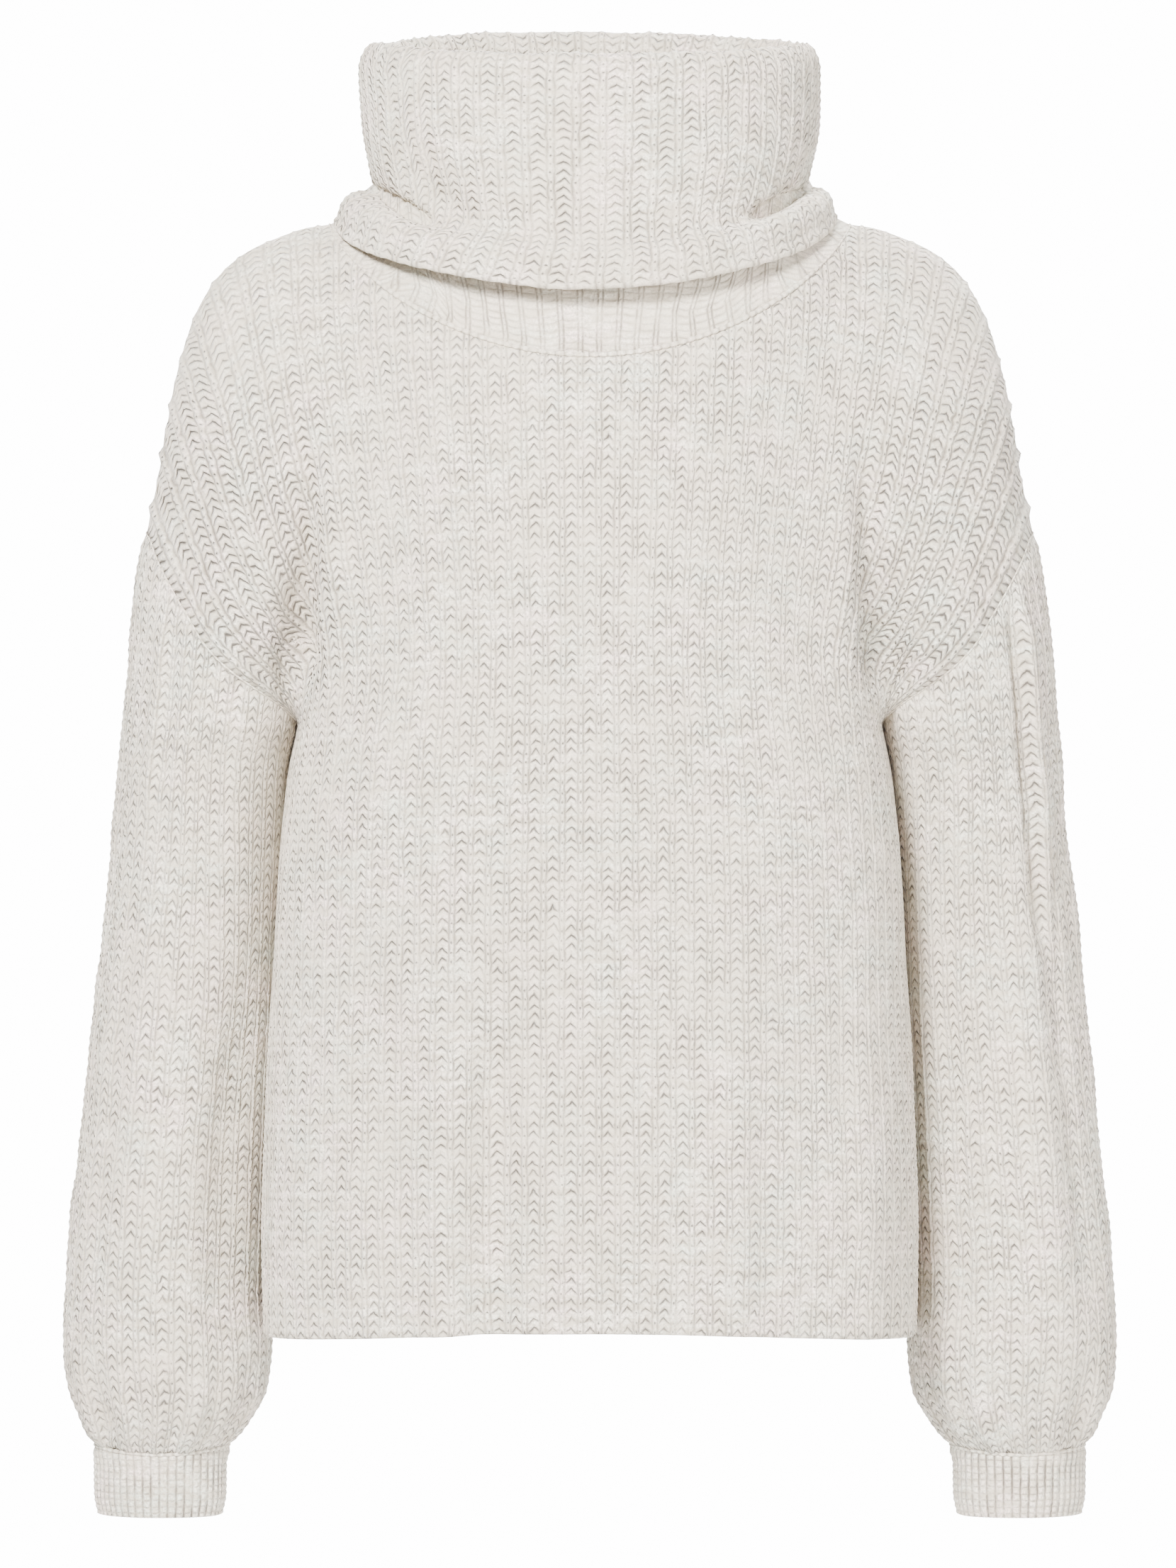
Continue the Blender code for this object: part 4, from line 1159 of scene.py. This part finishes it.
def mixed(tree, share, first, second):
    """The first colour, with this share of the second in it."""
    inputs = {"Fac": share, "Color1": first, "Color2": second}
    return add_node(tree, "MixRGB", {"blend_type": "MIX"}, inputs).outputs[0]


def lambswool(name, yarn, hollow_depth, steps, stray_share):
    """Lambswool yarn in cream melange, knitted in half-cardigan rib.

    It gives the eye a matt, slightly fuzzy cloth with faint warm and cool flecks, and stitch gaps that the bump
    sinks and painted shade darkens.
    """
    material = bpy.data.materials.new(name)
    material.use_nodes = True
    tree = material.node_tree
    shader = tree.nodes["Principled BSDF"]
    for socket, value in (
        ("Roughness", yarn.roughness),
        ("IOR", 1.54),
        ("Specular IOR Level", 0.2),
        ("Sheen Weight", yarn.sheen),
        ("Sheen Roughness", 0.6),
        ("Sheen Tint", linear("FFFAF2")),
    ):
        shader.inputs[socket].default_value = value
    place = add_node(tree, "TexCoord", {}, {}).outputs["Object"]
    stitches = add_node(tree, "UVMap", {"uv_map": "stitches"}, {}).outputs["UV"]
    # Each yarn lies a little off its place, over about 7 mm.
    stray = noise(tree, place, 0.007, 1.0).outputs["Color"]
    centred = worked(tree, "VectorMath", "SUBTRACT", stray, (0.5, 0.5, 0.5))
    stray_by = worked(tree, "VectorMath", "MULTIPLY", centred, stray_share)
    moved = worked(tree, "VectorMath", "ADD", stitches, stray_by)
    parts = add_node(tree, "SeparateXYZ", {}, {"Vector": moved})
    found = {"u": parts.outputs["X"], "v": parts.outputs["Y"]}
    for step in steps:
        values = [found[value] if isinstance(value, str) else value for value in (step.a, step.b)]
        found[step.name] = worked(tree, "Math", step.operation, *values)
    # Some stitches close up and others open, over about 12 mm.
    opened = mapped(tree, noise(tree, place, 0.012, 3.0).outputs["Fac"], 0.36, 0.64, 0.7, 1.5)
    # The drop shoulders' ribs are pulled apart, so their gaps open further.
    pulled = add_node(tree, "Attribute", {"attribute_name": "pulled_open"}, {}).outputs["Fac"]
    wider = worked(tree, "Math", "MULTIPLY_ADD", pulled, 0.5, opened)
    hollow = worked(tree, "Math", "MULTIPLY", found["hollow"], wider)
    # The yarn's own tone leans a little cool or warm, over about 30 mm.
    melange = add_node(tree, "ValToRGB", {}, {"Fac": noise(tree, place, 0.03, 2.0).outputs["Fac"]})
    ramp = melange.color_ramp
    ramp.elements[0].position = 0.36
    ramp.elements[0].color = linear("DDDDCB")
    ramp.elements[1].position = 0.64
    ramp.elements[1].color = linear("F3DED2")
    ramp.elements.new(0.5).color = list(yarn.colour)
    colour = melange.outputs[0]
    # Fibres 1 to 2 mm across stand out from the yarn, and the darker ones show as flecks.
    fibre = noise(tree, place, 0.0014, 3.0, 0.65).outputs["Fac"]
    # The tone changes along the yarn's length, so it shows as short streaks along the courses.
    run = worked(tree, "VectorMath", "MULTIPLY", stitches, (0.5, 0.85, 1.0))
    streak = noise(tree, run, 1.0, 3.0, 0.7).outputs["Fac"]
    # Whole areas lean to beige or grey, over about 70 mm, where darker lengths of yarn were knitted.
    cloud = noise(tree, place, 0.07, 4.0, 0.6).outputs["Fac"]
    for field, low, high, share, darker in (
        (fibre, 0.41, 0.58, 0.8, "B3AA9B"),
        (streak, 0.41, 0.57, 0.8, "BDB19C"),
        (cloud, 0.42, 0.58, 0.6, "C9BCA8"),
    ):
        colour = mixed(tree, mapped(tree, field, low, high, share, 0.0), colour, linear(darker))
    # Painted shade: the hollows of every stitch, groove and seam loop are mixed towards the grey-brown gap
    # colour, as shade would fall in them.
    shade = worked(tree, "Math", "MULTIPLY", hollow, yarn.gap_shade)
    colour = mixed(tree, shade, colour, list(yarn.painted_gap_shade_colour))
    tree.links.new(colour, shader.inputs["Base Color"])
    sunk = worked(tree, "Math", "MULTIPLY", hollow, -hollow_depth)
    height = worked(tree, "Math", "ADD", sunk, fibre)
    bump = add_node(tree, "Bump", {}, {"Strength": 1.0, "Distance": 0.001, "Height": height})
    tree.links.new(bump.outputs[0], shader.inputs["Normal"])
    return material


def colour_property(name, description, hex_colour):
    return bpy.props.FloatVectorProperty(
        name=name, description=description, subtype="COLOR", size=4, min=0, max=1, default=linear(hex_colour)
    )


def share_property(name, description, default):
    return bpy.props.FloatProperty(
        name=name, description=description, subtype="FACTOR", min=0, max=1, default=default
    )


def length_property(name, description, default):
    return bpy.props.FloatProperty(name=name, description=description, unit="LENGTH", default=default)


class LambswoolYarn(bpy.types.PropertyGroup):
    """The yarn's colours and lustre."""

    colour: colour_property("Yarn colour", "The cream of the melange yarn", "F0E6D4")
    # The colour of the painted shade in the stitch gaps.
    painted_gap_shade_colour: colour_property("Gap colour", "The shaded grey-brown between the stitches", "574C40")
    gap_shade: share_property("Gap shade", "How far the stitch gaps darken", 0.95)
    roughness: share_property("Roughness", "How matt the wool is", 0.92)
    sheen: share_property("Sheen", "The soft light in the wool's nap", 0.35)


class RibKnit(bpy.types.PropertyGroup):
    """The knitted cloth's sizes."""

    body_course: length_property("Body course", "The height of a course on the body", 0.0054)
    sleeve_course: length_property("Sleeve course", "The height of a course on the sleeves", 0.0059)
    collar_course: length_property("Collar course", "The height of a course on the collar", 0.0047)
    cuff_course: length_property("Cuff course", "The height of a course on the cuffs", 0.0038)
    rib_height: length_property("Rib height", "How far a rib's crest stands out", 0.0019)
    stitch_depth: length_property("Stitch depth", "How deep the gaps between the yarns are", 0.0016)
    unevenness: length_property("Unevenness", "How far the worn cloth swells and sinks", 0.0013)
    edge_roll: length_property("Edge roll", "How far the collar's free edge curls under", 0.0055)
    gather: length_property("Gathers", "How deep the sleeve's gathers at the cuff are", 0.0022)


class StudioLight(bpy.types.PropertyGroup):
    """The plain studio."""

    floor_colour: colour_property("Floor colour", "The pale seamless floor", "F4F4F4")
    ambient: bpy.props.FloatProperty(
        name="Ambient", description="The strength of the soft light from all round", min=0, default=0.36
    )
    key: bpy.props.FloatProperty(
        name="Key light", description="The strength of the softbox above the front", unit="POWER", default=475
    )


def dress(cloth, node, materials):
    """Puts a finished piece of cloth in its solid's place: gives it its materials, hides the solid and attaches
    it to the root.
    """
    for material in materials:
        cloth.data.materials.append(material)
    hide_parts(node)
    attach(cloth, "root")


# Each wool's share of the stitch depth, its steps, and how far its stitches stray across ribs and up courses.
WOOLS = {
    "lambswool": (1.0, HOLLOW_STEPS, (0.24, 0.7, 0.0)),
    "lambswool_reverse": (0.6, REVERSE_STEPS, (0.08, 0.5, 0.0)),
    "lambswool_cuff": (0.6, CUFF_STEPS, (0.2, 0.5, 0.0)),
    "lambswool_linking": (0.3, LINKING_STEPS, (0.0, 0.3, 0.0)),
}


def wool_of(name):
    """The lambswool, made once and shared by every piece."""
    found = bpy.data.materials.get(name)
    if found:
        return found
    scene = bpy.context.scene
    share, steps, stray_share = WOOLS[name]
    depth = share * scene.sweater_knit.stitch_depth / MM
    return lambswool(name, scene.sweater_yarn, depth, steps, stray_share)


class SWEATER_OT_body(bpy.types.Operator):
    """Knit the front and the back"""

    bl_idname = "sweater.body"
    bl_label = "Front and back"

    def execute(self, context):
        for panel in ("front", "back"):
            cloth = body_cloth(panel, context.scene.sweater_knit)
            dress(cloth, panel, [wool_of("lambswool")])
        return {"FINISHED"}


class SWEATER_OT_sleeves(bpy.types.Operator):
    """Knit the two balloon sleeves"""

    bl_idname = "sweater.sleeves"
    bl_label = "Sleeves"

    def execute(self, context):
        for side in ("left", "right"):
            cloth = sleeve_cloth(side, context.scene.sweater_knit)
            dress(cloth, f"sleeve_{side}", [wool_of("lambswool")])
        return {"FINISHED"}


class SWEATER_OT_cuffs(bpy.types.Operator):
    """Knit the two fine-rib cuffs"""

    bl_idname = "sweater.cuffs"
    bl_label = "Cuffs"

    def execute(self, context):
        for side in ("left", "right"):
            cloth = cuff_cloth(side, context.scene.sweater_knit)
            dress(cloth, f"cuff_{side}", [wool_of("lambswool_cuff")])
        return {"FINISHED"}


class SWEATER_OT_collar(bpy.types.Operator):
    """Knit the doubled-over cowl collar"""

    bl_idname = "sweater.collar"
    bl_label = "Collar"

    def execute(self, context):
        cloth = collar_cloth(context.scene.sweater_knit)
        materials = [wool_of("lambswool"), wool_of("lambswool_reverse")]
        dress(cloth, "collar", materials)
        return {"FINISHED"}


class SWEATER_OT_linking(bpy.types.Operator):
    """Link the seams of the neckline, the armholes and the cuffs"""

    bl_idname = "sweater.linking"
    bl_label = "Linked seams"

    def execute(self, context):
        angle = np.linspace(0, 2 * np.pi, 361)
        line = neckline(angle)
        thinner = NECK_CHAIN_THINS_BY * ease((np.abs(line[:, 0]) - NECK_CHAIN_THINS_FROM) / 22)
        linking("neck_linking", line, neckline_normal(angle), NECK_CHAIN.radius - thinner, NECK_CHAIN.stitch)
        for side in ("left", "right"):
            cuff = cuff_points(angle, np.array([0.0]))[:, 0]
            cuff[:, 2] -= cuff_dip(angle)
            for seam, line, out, chain in (
                ("armhole", armhole(angle), armhole_normal(angle), ARMHOLE_CHAIN),
                ("cuff", cuff, arm_out(angle), CUFF_CHAIN),
            ):
                linking(f"{seam}_linking_{side}", line * MIRROR[side], out * MIRROR[side], *chain)
        return {"FINISHED"}


class SWEATER_OT_stage(bpy.types.Operator):
    """Set up the pale floor, the soft studio light and the camera"""

    bl_idname = "sweater.stage"
    bl_label = "Studio"

    def execute(self, context):
        studio = context.scene.sweater_studio
        low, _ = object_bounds()
        middle = (0, 0, low.z - FLOOR_BELOW_CUFFS)
        bpy.ops.mesh.primitive_circle_add(vertices=96, radius=FLOOR_RADIUS, fill_type="NGON", location=middle)
        floor = context.object
        floor.name = "studio_floor"
        paint = bpy.data.materials.new("matt_white_floor")
        paint.use_nodes = True
        shader = paint.node_tree.nodes["Principled BSDF"]
        shader.inputs["Base Color"].default_value = list(studio.floor_colour)
        shader.inputs["Roughness"].default_value = 0.9
        floor.data.materials.append(paint)
        floor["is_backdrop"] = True
        world = bpy.data.worlds.new("studio_air")
        context.scene.world = world
        world.use_nodes = True
        tree = world.node_tree
        for old in list(tree.nodes):
            tree.nodes.remove(old)
        seen = add_node(tree, "LightPath", {}, {}).outputs["Is Camera Ray"]
        strength = mapped(tree, seen, 0.0, 1.0, studio.ambient, BACKDROP_STRENGTH)
        air = add_node(tree, "Background", {}, {"Color": (1, 1, 1, 1), "Strength": strength})
        add_node(tree, "OutputWorld", {}, {"Surface": air.outputs[0]})
        for lamp in LAMPS:
            light = bpy.data.lights.new(lamp.name, "AREA")
            light.shape = "DISK"
            light.size = lamp.size
            light.energy = studio.key * lamp.share
            box = bpy.data.objects.new(lamp.name, light)
            box.location = lamp.place
            box.rotation_euler = (LAMPS_AIM - Vector(lamp.place)).to_track_quat("-Z", "Y").to_euler()
            context.scene.collection.objects.link(box)
        lens = bpy.data.cameras.new("photo_camera")
        lens.lens = LENS_MM
        lens.sensor_width = SENSOR_MM
        camera = bpy.data.objects.new("photo_camera", lens)
        camera.location = CAMERA_PLACE
        camera.rotation_euler = (math.pi / 2, 0, 0)
        context.scene.collection.objects.link(camera)
        context.scene.camera = camera
        return {"FINISHED"}


class SWEATER_PT_pieces(bpy.types.Panel):
    """Lists the sweater's pieces, in the order in which they are made"""

    bl_label = "Sweater"
    bl_idname = "SWEATER_PT_pieces"
    bl_space_type = "VIEW_3D"
    bl_region_type = "UI"
    bl_category = "Sweater"

    def draw(self, context):
        for group in (context.scene.sweater_knit, context.scene.sweater_yarn, context.scene.sweater_studio):
            box = self.layout.box()
            for name in group.__annotations__:
                box.prop(group, name)
        for operator in OPERATORS:
            self.layout.operator(operator.bl_idname)


GROUPS = (LambswoolYarn, RibKnit, StudioLight)
OPERATORS = (
    SWEATER_OT_body,
    SWEATER_OT_sleeves,
    SWEATER_OT_cuffs,
    SWEATER_OT_collar,
    SWEATER_OT_linking,
    SWEATER_OT_stage,
)
CLASSES = GROUPS + OPERATORS + (SWEATER_PT_pieces,)


def register():
    for cls in CLASSES:
        bpy.utils.register_class(cls)
    bpy.types.Scene.sweater_yarn = bpy.props.PointerProperty(type=LambswoolYarn)
    bpy.types.Scene.sweater_knit = bpy.props.PointerProperty(type=RibKnit)
    bpy.types.Scene.sweater_studio = bpy.props.PointerProperty(type=StudioLight)


def unregister():
    del bpy.types.Scene.sweater_studio
    del bpy.types.Scene.sweater_knit
    del bpy.types.Scene.sweater_yarn
    for cls in reversed(CLASSES):
        bpy.utils.unregister_class(cls)


def main():
    register()
    bpy.ops.sweater.body()
    bpy.ops.sweater.sleeves()
    bpy.ops.sweater.cuffs()
    bpy.ops.sweater.collar()
    bpy.ops.sweater.linking()
    bpy.ops.sweater.stage()


if __name__ == "__main__":
    main()
